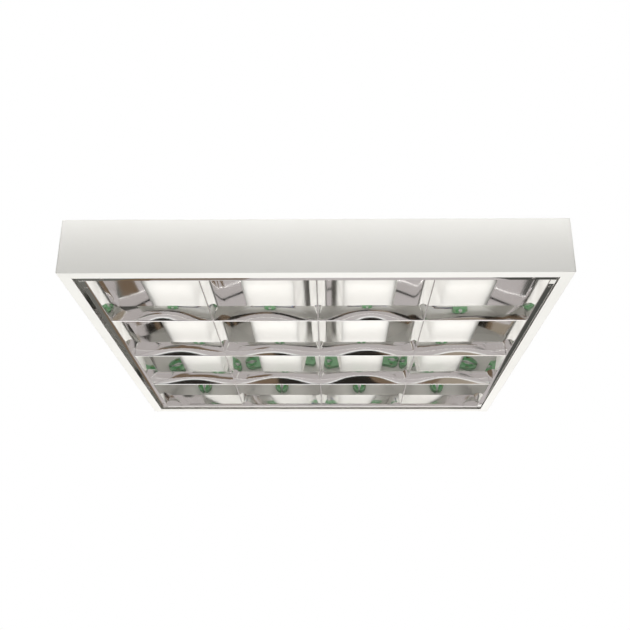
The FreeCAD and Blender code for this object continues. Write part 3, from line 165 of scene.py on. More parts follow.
class Effects:
    """Shader node groups that several finishes share, each built once."""

    made: dict[str, bpy.types.NodeTree] = {}
    tone_layers = 3.0
    gloss_layers = 4.0
    grain_layers = 2.0
    line_layers = 3.0

    @classmethod
    def group(cls, name: str, inputs: dict[str, str], output: tuple[str, str],
              fill: Callable[[Graph, dict], bpy.types.NodeSocket]) -> bpy.types.NodeTree:
        """Build a group on its first use.

        Args:
            name: Name of the group.
            inputs: Name and socket type of each input.
            output: Name and socket type of the output.
            fill: Adds the inner nodes to the inputs' sockets and returns the output's socket.

        Returns:
            The group's tree.
        """
        if name not in cls.made:
            tree = bpy.data.node_groups.new(name, "ShaderNodeTree")
            graph = Graph(tree)
            for label, kind in inputs.items():
                tree.interface.new_socket(label, in_out="INPUT", socket_type=kind)
            tree.interface.new_socket(output[0], in_out="OUTPUT", socket_type=output[1])
            given = graph.add("NodeGroupInput").outputs
            result = fill(graph, {label: given[label] for label in inputs})
            graph.add("NodeGroupOutput", {output[0]: result})
            cls.made[name] = tree
        return cls.made[name]

    @classmethod
    def drifting_tone(cls) -> bpy.types.NodeTree:
        """Build the slow change between two tones of a colour.

        Returns:
            The group's tree.
        """
        def fill(graph: Graph, given: dict) -> bpy.types.NodeSocket:
            """Mix the tones by a noise."""
            patches = graph.noise(graph.place(), given["Scale"], cls.tone_layers)
            return graph.blend(graph.spread(patches, TONE_SPAN), given["Pale"], given["Deep"])
        inputs = {"Pale": "NodeSocketColor", "Deep": "NodeSocketColor", "Scale": "NodeSocketFloat"}
        return cls.group("drifting_tone", inputs, ("Colour", "NodeSocketColor"), fill)

    @classmethod
    def uneven_gloss(cls) -> bpy.types.NodeTree:
        """Build the roughness that changes in soft patches.

        Returns:
            The group's tree.
        """
        def fill(graph: Graph, given: dict) -> bpy.types.NodeSocket:
            """Stretch a noise from smooth to dull."""
            patches = graph.noise(graph.place(), given["Scale"], cls.gloss_layers)
            return graph.spread(patches, GLOSS_SPAN, given["Smooth"], given["Dull"])
        inputs = dict.fromkeys(("Smooth", "Dull", "Scale"), "NodeSocketFloat")
        return cls.group("uneven_gloss", inputs, ("Roughness", "NodeSocketFloat"), fill)

    @classmethod
    def fine_grain(cls) -> bpy.types.NodeTree:
        """Build the height of a skin with a coarse and a fine grain.

        Returns:
            The group's tree.
        """
        def fill(graph: Graph, given: dict) -> bpy.types.NodeSocket:
            """Add a share of the fine noise to the coarse one."""
            coarse, fine = (graph.noise(graph.place(), given[name], cls.grain_layers)
                            for name in ("Coarse", "Fine"))
            return graph.math("ADD", coarse, graph.math("MULTIPLY", fine, given["Share"]))
        inputs = dict.fromkeys(("Coarse", "Fine", "Share"), "NodeSocketFloat")
        return cls.group("fine_grain", inputs, ("Height", "NodeSocketFloat"), fill)

    @classmethod
    def rolled_lines(cls) -> bpy.types.NodeTree:
        """Build the fine parallel lines that rolling leaves in a sheet.

        Returns:
            The group's tree.
        """
        def fill(graph: Graph, given: dict) -> bpy.types.NodeSocket:
            """Draw a noise out along one way."""
            stretched = graph.add("ShaderNodeVectorMath", {
                0: graph.place(), 1: given["Stretch"]}, operation="MULTIPLY")
            return graph.noise(stretched.outputs["Vector"], 1.0, cls.line_layers)
        inputs = {"Stretch": "NodeSocketVector"}
        return cls.group("rolled_lines", inputs, ("Lines", "NodeSocketFloat"), fill)


@dataclass(frozen=True)
class Grain:
    """Skin of a finish: its coarse and fine noise scales, and the fine one's share."""

    coarse: float
    fine: float
    share: float

    def height(self, graph: Graph) -> bpy.types.NodeSocket:
        """Height over the surface."""
        return graph.effect(Effects.fine_grain(), {
            "Coarse": self.coarse, "Fine": self.fine, "Share": self.share})


@dataclass(frozen=True)
class Finish:
    """Base of every finish: two drifting tones, an uneven gloss and a relief of some depth."""

    name: str
    pale: Colour
    deep: Colour
    drift: float
    smooth: float
    dull: float
    depth: float

    # Values that are the same all over the surface, by the shader's socket.
    fixed = {"IOR": COAT_IOR}

    def tone(self, graph: Graph) -> bpy.types.NodeSocket:
        """Colour over the surface."""
        return graph.effect(Effects.drifting_tone(), {
            "Pale": opaque(self.pale), "Deep": opaque(self.deep), "Scale": self.drift})

    def gloss(self, graph: Graph) -> bpy.types.NodeSocket:
        """Roughness over the surface."""
        raise NotImplementedError

    def relief(self, graph: Graph) -> bpy.types.NodeSocket:
        """Height over the surface."""
        raise NotImplementedError

    def material(self) -> bpy.types.Material:
        """Build the material on its first use.

        Returns:
            The material of this finish.
        """
        made = bpy.data.materials.get(self.name)
        if made is None or not made.get("dressed"):
            made = bpy.data.materials.new(self.name)
            made.use_nodes = True
            made["dressed"] = True
            graph = Graph(made.node_tree)
            surface = graph.add("ShaderNodeBsdfPrincipled", {
                "Base Color": self.tone(graph), "Roughness": self.gloss(graph),
                "Normal": graph.bump(self.relief(graph), self.depth), **self.fixed})
            graph.add("ShaderNodeOutputMaterial", {"Surface": surface.outputs["BSDF"]})
        return made

    def dress(self, piece: bpy.types.Object) -> None:
        """Give a piece this finish in place of what it has."""
        piece.data.materials.clear()
        piece.data.materials.append(self.material())


@dataclass(frozen=True)
class PatchyFinish(Finish):
    """Finish whose gloss changes in soft patches."""

    patch: float

    def gloss(self, graph: Graph) -> bpy.types.NodeSocket:
        """Roughness over the surface."""
        return graph.effect(Effects.uneven_gloss(), {
            "Smooth": self.smooth, "Dull": self.dull, "Scale": self.patch})


@dataclass(frozen=True)
class Paint(PatchyFinish):
    """Powder coat on steel sheet, with a soft orange peel."""

    pale: Colour = (0.82, 0.812, 0.775)
    deep: Colour = (0.795, 0.785, 0.745)
    drift: float = 5.0
    smooth: float = 0.30
    dull: float = 0.40
    depth: float = 0.02 * MM
    patch: float = 14.0
    peel: Grain = Grain(420.0, 1680.0, 0.3)

    def relief(self, graph: Graph) -> bpy.types.NodeSocket:
        """Height of the orange peel."""
        return self.peel.height(graph)


@dataclass(frozen=True)
class Mirror(Finish):
    """Bright aluminium sheet that is rolled along one way and not quite flat."""

    pale: Colour = (0.94, 0.937, 0.93)
    deep: Colour = (0.91, 0.905, 0.895)
    drift: float = 9.0
    smooth: float = 0.03
    dull: float = 0.07
    depth: float = 0.02 * MM
    stretch: tuple[float, float, float] = (900.0, 5.0, 900.0)
    wave: Grain = Grain(14.0, 42.0, 0.12)

    fixed = {"Metallic": 1.0}

    def gloss(self, graph: Graph) -> bpy.types.NodeSocket:
        """Roughness that follows the rolled lines."""
        lines = graph.effect(Effects.rolled_lines(), {"Stretch": self.stretch})
        return graph.spread(lines, GLOSS_SPAN, self.smooth, self.dull)

    def relief(self, graph: Graph) -> bpy.types.NodeSocket:
        """Height of the sheet's waves."""
        return self.wave.height(graph)


@dataclass(frozen=True)
class Metal(PatchyFinish):
    """Plain metal of small parts: plated steel or contact bronze."""

    pale: Colour = (0.66, 0.65, 0.62)
    deep: Colour = (0.52, 0.51, 0.48)
    drift: float = 160.0
    smooth: float = 0.2
    dull: float = 0.36
    depth: float = 0.01 * MM
    patch: float = 120.0
    stretch: tuple[float, float, float] = (300.0, 300.0, 1200.0)

    fixed = {"Metallic": 1.0}

    def relief(self, graph: Graph) -> bpy.types.NodeSocket:
        """Height of the lines that rolling or drawing left."""
        return graph.effect(Effects.rolled_lines(), {"Stretch": self.stretch})


@dataclass(frozen=True)
class Moulded(PatchyFinish):
    """Moulded plastic with a fine spark grain."""

    pale: Colour = (0.8, 0.8, 0.78)
    deep: Colour = (0.74, 0.74, 0.72)
    drift: float = 90.0
    smooth: float = 0.38
    dull: float = 0.5
    depth: float = 0.015 * MM
    patch: float = 200.0
    spark: Grain = Grain(1500.0, 4000.0, 0.5)

    def relief(self, graph: Graph) -> bpy.types.NodeSocket:
        """Height of the spark grain."""
        return self.spark.height(graph)


@dataclass(frozen=True)
class RotorPlastic(Moulded):
    """Rotor moulded in two colours: a coloured face round a white core."""

    face: Colour = (0.1, 0.3, 0.12)
    face_depth: float = 296.3 * MM

    def tone(self, graph: Graph) -> bpy.types.NodeSocket:
        """Colour the face up to its depth and the core behind it.

        Args:
            graph: Nodes of the material.

        Returns:
            Socket of the colour.
        """
        place = graph.add("ShaderNodeSeparateXYZ", {"Vector": graph.place()})
        depth = graph.math("ABSOLUTE", place.outputs["Y"])
        share = graph.math("GREATER_THAN", depth, self.face_depth)
        return graph.blend(share, opaque(self.face), super().tone(graph))


@dataclass(frozen=True)
class Insulation(Moulded):
    """Wire insulation, plain or with a stripe of a second colour."""

    stripe: Colour | None = None
    turns: float = 260.0
    stripe_start: float = 0.1

    def tone(self, graph: Graph) -> bpy.types.NodeSocket:
        """Colour the wire, with the stripe where it has one.

        Args:
            graph: Nodes of the material.

        Returns:
            Socket of the colour.
        """
        plain = super().tone(graph)
        if self.stripe is None:
            return plain
        place = graph.add("ShaderNodeSeparateXYZ", {"Vector": graph.place()})
        run = graph.math("ADD", place.outputs["X"], place.outputs["Y"])
        turn = graph.math("SINE", graph.math("MULTIPLY", run, self.turns))
        share = graph.math("GREATER_THAN", turn, self.stripe_start)
        return graph.blend(share, plain, opaque(self.stripe))


class Look(Enum):
    """Finishes of the light, by the record's material slot."""

    white_paint = Paint("paint_white")
    mirror_along = Mirror("mirror_along_lamps")
    mirror_across = Mirror("mirror_across_lamps", stretch=(5.0, 900.0, 900.0))
    bright_steel = Metal("steel_plated")
    contact_metal = Metal("contact_bronze", (0.72, 0.5, 0.24), (0.6, 0.4, 0.18))
    green_plastic = Moulded("plastic_green", (0.21, 0.4, 0.226), (0.175, 0.34, 0.19))
    rotor_plastic = RotorPlastic("plastic_rotor", (0.82, 0.82, 0.8), (0.76, 0.76, 0.74))
    white_plastic = Moulded("plastic_white", (0.78, 0.77, 0.73), (0.72, 0.71, 0.67))
    bush_plastic = Moulded("plastic_bush", (0.5, 0.5, 0.49), (0.44, 0.44, 0.43),
                           smooth=0.45, dull=0.6)
    brown_insulation = Insulation("wire_brown", (0.16, 0.07, 0.03), (0.12, 0.05, 0.02))
    blue_insulation = Insulation("wire_blue", (0.06, 0.17, 0.42), (0.045, 0.13, 0.35))
    earth_insulation = Insulation("wire_earth", (0.10, 0.34, 0.06), (0.08, 0.28, 0.05),
                                  stripe=(0.75, 0.6, 0.05))

    def dress(self, piece: bpy.types.Object) -> None:
        """Give a piece this finish."""
        self.value.dress(piece)


class Way(Enum):
    """Direction in which a folded sheet runs: its axis, the level axis across it, that one's name."""

    ACROSS = ((1, 0, 0), (0, 1, 0), "Y")
    ALONG = ((0, 1, 0), (1, 0, 0), "X")

    @property
    def axis(self) -> Vector:
        """Axis along the run."""
        return Vector(self.value[0])

    @property
    def level(self) -> Vector:
        """Level axis across the run."""
        return Vector(self.value[1])

    @property
    def level_name(self) -> str:
        """Name of the level axis across the run."""
        return self.value[2]

    def point(self, run: float, across: float, height: float) -> Vector:
        """Place from a run, a distance across and a height."""
        return self.axis * run + self.level * across + Vector((0, 0, height))


@dataclass(frozen=True)
class Curve:
    """Arc of a section, as across and height; a positive bow lies to the left on its way up."""

    foot: tuple[float, float]
    top: tuple[float, float]
    bow: float

    def circle(self) -> tuple[float, float, float]:
        """Work out the circle that the arc is part of.

        Returns:
            Centre across, centre height and radius.
        """
        run, rise = self.top[0] - self.foot[0], self.top[1] - self.foot[1]
        chord = math.hypot(run, rise)
        depth = abs(self.bow)
        radius = chord ** 2 / (8 * depth) + depth / 2
        side = math.copysign(radius - depth, self.bow) / chord
        return ((self.foot[0] + self.top[0]) / 2 + side * rise,
                (self.foot[1] + self.top[1]) / 2 - side * run, radius)

    def across_at(self, height: float) -> float:
        """How far across the arc is at a height."""
        across, level, radius = self.circle()
        return across - math.copysign(math.sqrt(radius ** 2 - (height - level) ** 2), self.bow)


class FoldedSheet:
    """Thin sheet: a section of lines and arcs that is drawn out, folded, cut and thickened."""

    facet = 1.5 * MM

    def __init__(self, way: Way, across: float, height: float) -> None:
        """Start the section at one point.

        Args:
            way: Direction in which the sheet will run.
            across: How far across the point is.
            height: Height of the point.
        """
        self.way = way
        self.mesh = bmesh.new()
        self.tip = self.mesh.verts.new(way.point(0.0, across, height))

    def line_to(self, across: float, height: float) -> None:
        """Go on with a straight line.

        Args:
            across: How far across the line's end is.
            height: Height of the line's end.
        """
        made = bmesh.ops.extrude_vert_indiv(self.mesh, verts=[self.tip])
        self.tip = made["verts"][0]
        self.tip.co = self.way.point(0.0, across, height)

    def curve_up(self, curve: Curve, rows: Iterable[float]) -> None:
        """Go on along an arc.

        Args:
            curve: The arc, which starts where the section is now.
            rows: Heights that get a row of points, the last one being the arc's top.
        """
        across, level, radius = curve.circle()
        centre = self.way.point(0.0, across, level)
        for row in rows:
            before = self.tip.co - centre
            after = self.way.point(0.0, curve.across_at(row), row) - centre
            angle = math.atan2(self.way.axis.dot(before.cross(after)), before.dot(after))
            steps = max(2, math.ceil(abs(angle) * radius / self.facet))
            made = bmesh.ops.spin(self.mesh, geom=[self.tip], cent=centre, axis=self.way.axis,
                                  angle=angle, steps=steps)
            self.tip = next(
                part for part in made["geom_last"] if isinstance(part, bmesh.types.BMVert))

    def mirror(self) -> None:
        """Add the other half of a section that is the same on both sides."""
        half = self.mesh.verts[:] + self.mesh.edges[:]
        bmesh.ops.mirror(self.mesh, geom=half, axis=self.way.level_name, merge_dist=WELD)

    def draw_out(self, start: float, end: float) -> None:
        """Draw the section out into a sheet whose outer face looks down at its lower edge.

        Args:
            start: Run at which the sheet starts.
            end: Run at which it ends.
        """
        bmesh.ops.remove_doubles(self.mesh, verts=self.mesh.verts, dist=WELD)
        bmesh.ops.translate(self.mesh, verts=self.mesh.verts, vec=self.way.axis * start)
        made = bmesh.ops.extrude_edge_only(self.mesh, edges=self.mesh.edges[:])
        moved = [part for part in made["geom"] if isinstance(part, bmesh.types.BMVert)]
        bmesh.ops.translate(self.mesh, verts=moved, vec=self.way.axis * (end - start))
        faces = self.mesh.faces[:]
        bmesh.ops.recalc_face_normals(self.mesh, faces=faces)
        lowest = min(faces, key=lambda face: face.calc_center_median().z)
        if lowest.normal.z > 0:
            bmesh.ops.reverse_faces(self.mesh, faces=faces)

    def round_folds(self, radius: float) -> None:
        """Round the folds between the faces."""
        folds = [edge for edge in self.mesh.edges
                 if len(edge.link_faces) == 2 and edge.calc_face_angle() > FOLD_ANGLE]
        bmesh.ops.bevel(self.mesh, geom=folds, offset=radius, offset_type="OFFSET",
                        segments=FOLD_SEGMENTS, profile=0.5, affect="EDGES", material=-1)

    def cut(self, at: Vector, normal: Vector) -> None:
        """Part the sheet along a plane, without taking anything away."""
        parts = self.mesh.verts[:] + self.mesh.edges[:] + self.mesh.faces[:]
        bmesh.ops.bisect_plane(self.mesh, geom=parts, dist=WELD, plane_co=at, plane_no=normal)

    def slant_cut(self, low: tuple[float, float], high: tuple[float, float]) -> None:
        """Part the sheet along a plane through two points, each a run and a height."""
        first, second = (self.way.point(run, 0.0, height) for run, height in (low, high))
        self.cut(first, (second - first).cross(self.way.level))

    def drop(self, test: Callable[[float, float, float], bool]) -> None:
        """Take away some of the faces.

        Args:
            test: Says of a face's middle, as run, across and height, whether the face goes.
        """
        gone = []
        for face in self.mesh.faces:
            middle = face.calc_center_median()
            if test(middle.dot(self.way.axis), middle.dot(self.way.level), middle.z):
                gone.append(face)
        bmesh.ops.delete(self.mesh, geom=gone, context="FACES")

    def notch(self, at: float, low: tuple[float, float], high: tuple[float, float]) -> None:
        """Cut out a wedge that goes right through the sheet.

        Args:
            at: Run at which the wedge's middle is.
            low: Half width and height of the wedge's lower end.
            high: Half width and height of its upper end.
        """
        for sign in (-1, 1):
            self.slant_cut((at + low[0] * sign, low[1]), (at + high[0] * sign, high[1]))
        slope = (high[0] - low[0]) / (high[1] - low[1])
        self.drop(lambda run, across, height: low[1] - WELD < height < high[1] + WELD
                  and abs(run - at) < low[0] + slope * (height - low[1]))

    def thicken(self, thickness: float) -> None:
        """Give the sheet its thickness behind the outer face."""
        bmesh.ops.solidify(self.mesh, geom=self.mesh.faces[:], thickness=thickness)

    def piece(self, name: str, place: Vector) -> bpy.types.Object:
        """Move the sheet to its place and make it a piece."""
        bmesh.ops.translate(self.mesh, verts=self.mesh.verts, vec=place)
        return as_piece(self.mesh, name)


def turned(mesh: bmesh.types.BMesh, at: Vector, section: Iterable[tuple[float, float]]) -> None:
    """Turn a section about an upright axis.

    Args:
        mesh: Mesh that the shape is added to.
        at: Foot of the axis.
        section: Radius and height of each point, in millimetres, from axis to axis.
    """
    line = [mesh.verts.new(at + Vector((radius, 0, height)) * MM) for radius, height in section]
    edges = [mesh.edges.new(pair) for pair in zip(line, line[1:])]
    bmesh.ops.spin(mesh, geom=line + edges, cent=at, axis=Z_AXIS, angle=2 * math.pi,
                   steps=TURN_STEPS, use_merge=True)
    bmesh.ops.remove_doubles(mesh, verts=mesh.verts, dist=WELD)
    bmesh.ops.recalc_face_normals(mesh, faces=mesh.faces)


def as_piece(mesh: bmesh.types.BMesh, name: str) -> bpy.types.Object:
    """Make a smooth shaded object of a mesh.

    Args:
        mesh: The mesh, which is freed.
        name: Name of the piece.

    Returns:
        The new object, at the origin.
    """
    data = bpy.data.meshes.new(name)
    mesh.to_mesh(data)
    mesh.free()
    data.shade_smooth()
    data.set_sharp_from_angle(angle=SHARP_ANGLE)
    piece = bpy.data.objects.new(name, data)
    bpy.context.scene.collection.objects.link(piece)
    return piece


def settle(piece: bpy.types.Object, body: str, look: Look, node: str) -> None:
    """Dress a new piece, let it ride on a body and stand for a CAD node.

    Args:
        piece: The piece, in its place.
        body: Body that it moves with.
        look: Its finish.
        node: CAD node that it stands for.
    """
    look.dress(piece)
    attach(piece, body)
    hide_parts(node)
    LOG.info("%s rides on %s and stands for %s", piece.name, body, node)


@dataclass
class Housing:
    """Everything that the CAD frame already shapes: it keeps its form and gets its finish."""

    look_of_slot: dict[str, Look] = field(default_factory=lambda: {
        "mirror_sheet": Look.mirror_along,
        **{look.name: look for look in Look if not look.name.startswith("mirror")}})

    def build(self) -> None:
        """Dress each CAD node by the slot that it was packed with."""
        for name, piece in sorted(frame["nodes"].items()):
            slot = piece.data.materials[0].name.split(".")[0]
            look = self.look_of_slot[slot]
            look.dress(piece)
            LOG.info("%s keeps its form, dressed as %s", name, look.name)


@dataclass(frozen=True)
class ProfileFoot:
    """Round lower part of a profile: run across, rise and depth of its hollow."""

    run: float
    rise: float
    hollow: float


@dataclass(frozen=True)
class BladeForm:
    """How far a blade's faces are drawn in, and each cell's swelling as a share of that."""

    pinch: float
    swells: tuple[float, ...]


@dataclass
class Louvre:
    """Mirror louvre: profiles along the lamps, blades across them and a lip all round."""

    # Sheet, half width and radius of the rolled lower edges, and clearance where sheets cross.
    sheet: float = 0.5 * MM
    edge_half: float = 0.8 * MM
    fold: float = 0.7 * MM
    gap: float = 0.3 * MM
    v_foot: ProfileFoot = ProfileFoot(12.0 * MM, 33.6 * MM, 3.0 * MM)
    side_foot: ProfileFoot = ProfileFoot(5.2 * MM, 25.2 * MM, 1.2 * MM)
    # Depth of the bulge in the faces of cross blades and end blades.
    bulge: float = 0.25 * MM
    end_bulge: float = 0.15 * MM
    blade_forms: dict[str, BladeForm] = field(default_factory=lambda: {
        "near": BladeForm(3.3 * MM, (0.75, 0.5, 0.76, 0.15)),
        "middle": BladeForm(1.6 * MM, (0.6, 0.5, 0.68, 0.55)),
        "far": BladeForm(1.6 * MM, (0.45, 0.65, 1.0, 0.65))})
    swell_step: float = 6.0 * MM
    # Heights over the lower edge: where profiles and blades halve, and the blades' end tabs.
    lap: float = 11.0 * MM
    tab_low: float = 7.0 * MM
    tab_high: float = 14.0 * MM
    # Width of the lip, height of its rim, and length of the seats for the hinge blocks.
    lip: float = 9.0 * MM
    rim: float = 7.0 * MM
    seat: float = 12.0 * MM
    # Rivets: their two distances from the middle, and a section in millimetres.
    rivet_out: float = 288.0 * MM
    rivet_in: float = 262.5 * MM
    rivet_section: tuple[tuple[float, float], ...] = (
        (0.0, -0.26), (1.5, -0.24), (2.1, -0.16), (2.4, 0.02), (1.6, 0.06), (1.6, 1.52),
        (3.2, 1.52), (3.2, 1.9), (2.9, 2.3), (2.2, 2.55), (1.0, 2.6), (0.8, 2.2), (0.0, 2.15))

    def __post_init__(self) -> None:
        """Take the louvre's places from the frame."""
        low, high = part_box("louvre_profile_middle")
        self.middle = middle_of("louvre_profile_middle", 0)
        self.edge, self.profile_top = low.z, high.z
        self.reach = (high.x - low.x) / 2
        self.length = high.y
        low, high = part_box("cross_blade_middle")
        self.blade_top = high.z
        self.blade_half = (high.y - low.y) / 2
        self.blades = {name: middle_of(f"cross_blade_{name}", 1) for name in self.blade_forms}
        self.profiles = {name: middle_of(f"louvre_profile_{name}", 0)
                         for name in ("left", "middle", "right")}
        low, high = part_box("end_blade_far")
        self.leaf_top, self.lip_end = low.y, high.y
        self.lip_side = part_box("side_profile_right")[1].x - self.middle
        self.inner_side = self.lip_side - self.lip
        self.inner_end = self.lip_end - self.lip

    def profile_curve(self, shape: ProfileFoot, foot: float, sign: int) -> Curve:
        """Round lower part of a profile that leans out from its foot to one side."""
        bend = (foot + shape.run * sign, self.edge + shape.rise)
        return Curve((foot, self.edge), bend, shape.hollow * sign)

    def profile_face(self, sheet: FoldedSheet, shape: ProfileFoot, foot: float, sign: int,
                     rows: Iterable[float]) -> None:
        """Go up a profile: round lower part, flat upper part.

        Args:
            sheet: Sheet whose section is at the profile's foot.
            shape: Section of the round lower part.
            foot: How far across the foot is.
            sign: Side to which the profile leans out.
            rows: Heights within the round part that get a row of points.
        """
        curve = self.profile_curve(shape, foot, sign)
        sheet.curve_up(curve, (*rows, curve.top[1]))
        sheet.line_to(foot + (self.reach - self.edge_half) * sign, self.profile_top)

    def blade_curve(self, name: str) -> Curve:
        """Bulged face of a cross blade."""
        half = self.blade_half - self.blade_forms[name].pinch
        return Curve((self.edge_half, self.edge), (half, self.blade_top), -self.bulge)

    def hang(self, sheet: FoldedSheet, name: str, place: Vector, look: Look, node: str) -> None:
        """Thicken a sheet and hang it in the louvre in place of its CAD node."""
        sheet.thicken(self.sheet)
        settle(sheet.piece(name, place), "louvre", look, node)

    def end_cut(self, sheet: FoldedSheet, above: float) -> None:
        """Keep a lengthwise sheet clear of the end blades.

        Args:
            sheet: The sheet, before it is thickened.
            above: Height from which its ends go.
        """
        start = self.leaf_top - self.gap
        over = self.blade_top + self.gap
        for sign in (-1, 1):
            sheet.cut(Y_AXIS * start * sign, Y_AXIS)
        sheet.drop(lambda run, across, height: abs(run) > start and above < height < over)

    def profile(self, name: str, middle: float) -> None:
        """Build a V profile along the lamps, notched from below for the cross blades.

        Args:
            name: Which profile it is.
            middle: How far to the right its middle is.
        """
        lap = self.edge + self.lap + self.gap
        sheet = FoldedSheet(Way.ALONG, 0.0, self.edge)
        sheet.line_to(self.edge_half, self.edge)
        self.profile_face(sheet, self.v_foot, self.edge_half, 1, (lap, self.blade_top + self.gap))
        sheet.mirror()
        sheet.draw_out(-self.length, self.length)
        sheet.round_folds(self.fold)
        narrow = self.edge_half + self.gap
        wide = self.blade_curve("middle").across_at(self.edge + self.lap) + self.gap
        for blade in self.blades.values():
            sheet.notch(blade, (narrow, self.edge), (wide, lap))
        self.end_cut(sheet, self.edge - self.gap)
        self.hang(sheet, f"mirror_profile_{name}", X_AXIS * middle, Look.mirror_along,
                  f"louvre_profile_{name}")

    def side(self, name: str, sign: int) -> None:
        """Build the half profile at one side, with the side lip and its rim.

        Args:
            name: Which side it is.
            sign: Sign of the side's place along X.
        """
        foot = self.inner_side * sign
        out = self.lip_side * sign
        slot_low = self.edge + self.tab_low - self.gap
        slot_high = self.edge + self.tab_high + self.gap
        sheet = FoldedSheet(Way.ALONG, out, self.edge + self.rim)
        sheet.line_to(out, self.edge)
        sheet.line_to(foot, self.edge)
        rows = (slot_low, slot_high, self.blade_top + self.gap)
        self.profile_face(sheet, self.side_foot, foot, -sign, rows)
        sheet.draw_out(-self.length, self.length)
        sheet.round_folds(self.fold)
        half = self.blade_curve("middle").across_at(self.edge + self.tab_high) + self.gap
        for blade in self.blades.values():
            for edge in (blade - half, blade + half):
                sheet.cut(Y_AXIS * edge, Y_AXIS)
            sheet.drop(lambda run, across, height, at=blade: abs(run - at) < half
                       and slot_low < height < slot_high and abs(across) < abs(foot))
        self.end_cut(sheet, self.edge + self.rim)
        if sign > 0:
            self.hinge_seats(sheet)
        self.hang(sheet, f"mirror_side_{name}", X_AXIS * self.middle, Look.mirror_along,
                  f"side_profile_{name}")

    def hinge_seats(self, sheet: FoldedSheet) -> None:
        """Open the lip where the hinge blocks show.

        Args:
            sheet: The right side's sheet, before it is thickened.
        """
        start = self.length - self.seat
        inside = self.inner_side + self.sheet + self.gap
        sheet.cut(X_AXIS * inside, X_AXIS)
        for sign in (-1, 1):
            sheet.cut(Y_AXIS * start * sign, Y_AXIS)
        sheet.drop(lambda run, across, height: abs(run) > start and across > inside)

    def blade(self, name: str, middle: float) -> None:
        """Build a folded blade across the lamps, notched from above for the profiles.

        Args:
            name: Which blade it is.
            middle: How far towards the far end its middle is.
        """
        low, lap, high = (self.edge + rise for rise in (self.tab_low, self.lap, self.tab_high))
        sheet = FoldedSheet(Way.ACROSS, 0.0, self.edge)
        sheet.line_to(self.edge_half, self.edge)
        sheet.curve_up(self.blade_curve(name), (low, lap, high, self.blade_top))
        sheet.mirror()
        sheet.draw_out(-self.inner_side, self.inner_side)
        sheet.round_folds(self.fold)
        self.swell(sheet, self.blade_forms[name])
        face = self.profile_curve(self.v_foot, self.edge_half, 1)
        narrow, wide = (face.across_at(height) + self.gap for height in (lap, self.blade_top))
        for profile in self.profiles.values():
            sheet.notch(profile - self.middle, (narrow, lap), (wide, self.blade_top))
        self.blade_ends(sheet, low, high)
        self.hang(sheet, f"mirror_blade_{name}", Vector((self.middle, middle, 0)),
                  Look.mirror_across, f"cross_blade_{name}")

    def swell(self, sheet: FoldedSheet, form: BladeForm) -> None:
        """Let a blade's faces swell between the profiles, from nothing at its lower edge.

        Args:
            sheet: The blade, before it is notched.
            form: How far its cells swell.
        """
        edges = [-self.inner_side, *(profile - self.middle for profile in self.profiles.values()),
                 self.inner_side]
        heights = [share * form.pinch for share in form.swells]
        steps = math.ceil(2 * self.inner_side / self.swell_step)
        for step in range(1, steps):
            sheet.cut(X_AXIS * (self.inner_side * (2 * step / steps - 1)), X_AXIS)
        for vert in sheet.mesh.verts:
            low, high, most = next(cell for cell in zip(edges, edges[1:], heights)
                                   if vert.co.x <= cell[1] + WELD)
            along = (vert.co.x - low) / (high - low)
            up = max(0.0, (vert.co.z - self.edge) / (self.blade_top - self.edge))
            amount = most * math.sin(math.pi * along) ** 2
            vert.co.y += math.copysign(amount * (4 * up - up ** 4) / 3, vert.co.y)

    def blade_ends(self, sheet: FoldedSheet, low: float, high: float) -> None:
        """Shape the ends of a blade to the side profiles and leave a tab in each slot.

        Args:
            sheet: The blade, before it is thickened.
            low: Height at which the tabs start.
            high: Height at which they end.
        """
        face = self.profile_curve(self.side_foot, self.inner_side, -1)
        for bottom, top in ((self.edge, low), (high, self.blade_top)):
            first, last = (face.across_at(height) - self.gap for height in (bottom, top))
            for sign in (-1, 1):
                sheet.slant_cut((first * sign, bottom), (last * sign, top))
            sheet.drop(lambda run, across, height: bottom - self.gap < height < top and abs(run) > (
                first + (last - first) * (height - bottom) / (top - bottom)))

    def end(self, name: str, sign: int) -> None:
        """Build the half blade at one end, with the end lip and its rim.

        Args:
            name: Which end it is.
            sign: Sign of the end's place along Y.
        """
        foot = (self.inner_end - self.edge_half) * sign
        out = self.lip_end * sign
        leaf = Curve((foot, self.edge), (self.leaf_top * sign, self.blade_top), self.end_bulge * sign)
        sheet = FoldedSheet(Way.ACROSS, out, self.edge + self.rim)
        sheet.line_to(out, self.edge)
        sheet.line_to(foot, self.edge)
        sheet.curve_up(leaf, (self.blade_top,))
        sheet.draw_out(-self.lip_side, self.lip_side)
        sheet.round_folds(self.fold)
        side = self.inner_side - self.gap
        for edge in (-side, side):
            sheet.cut(X_AXIS * edge, X_AXIS)
        sheet.cut(Z_AXIS * (self.edge + self.sheet), Z_AXIS)
        sheet.drop(lambda run, across, height: abs(run) > side and height > self.edge + self.sheet)
        self.hang(sheet, f"mirror_end_{name}", X_AXIS * self.middle, Look.mirror_across,
                  f"end_blade_{name}")

    def rivets(self) -> None:
        """Build the blind rivets through the lips and the corner plates."""
        mesh = bmesh.new()
        for x, y in ((self.rivet_out, self.rivet_in), (self.rivet_in, self.rivet_out)):
            for side in (-1, 1):
                for end in (-1, 1):
                    at = Vector((x * side + self.middle, y * end, self.edge))
                    turned(mesh, at, self.rivet_section)
        settle(as_piece(mesh, "lip_rivets"), "louvre", Look.bright_steel,
               "louvre_rivets")

    def build(self) -> None:
        """Build every piece of the louvre."""
        for name, middle in self.profiles.items():
            self.profile(name, middle)
        for name, sign in (("left", -1), ("right", 1)):
            self.side(name, sign)
        for name, middle in self.blades.items():
            self.blade(name, middle)
        for name, sign in (("near", -1), ("far", 1)):
            self.end(name, sign)
        self.rivets()


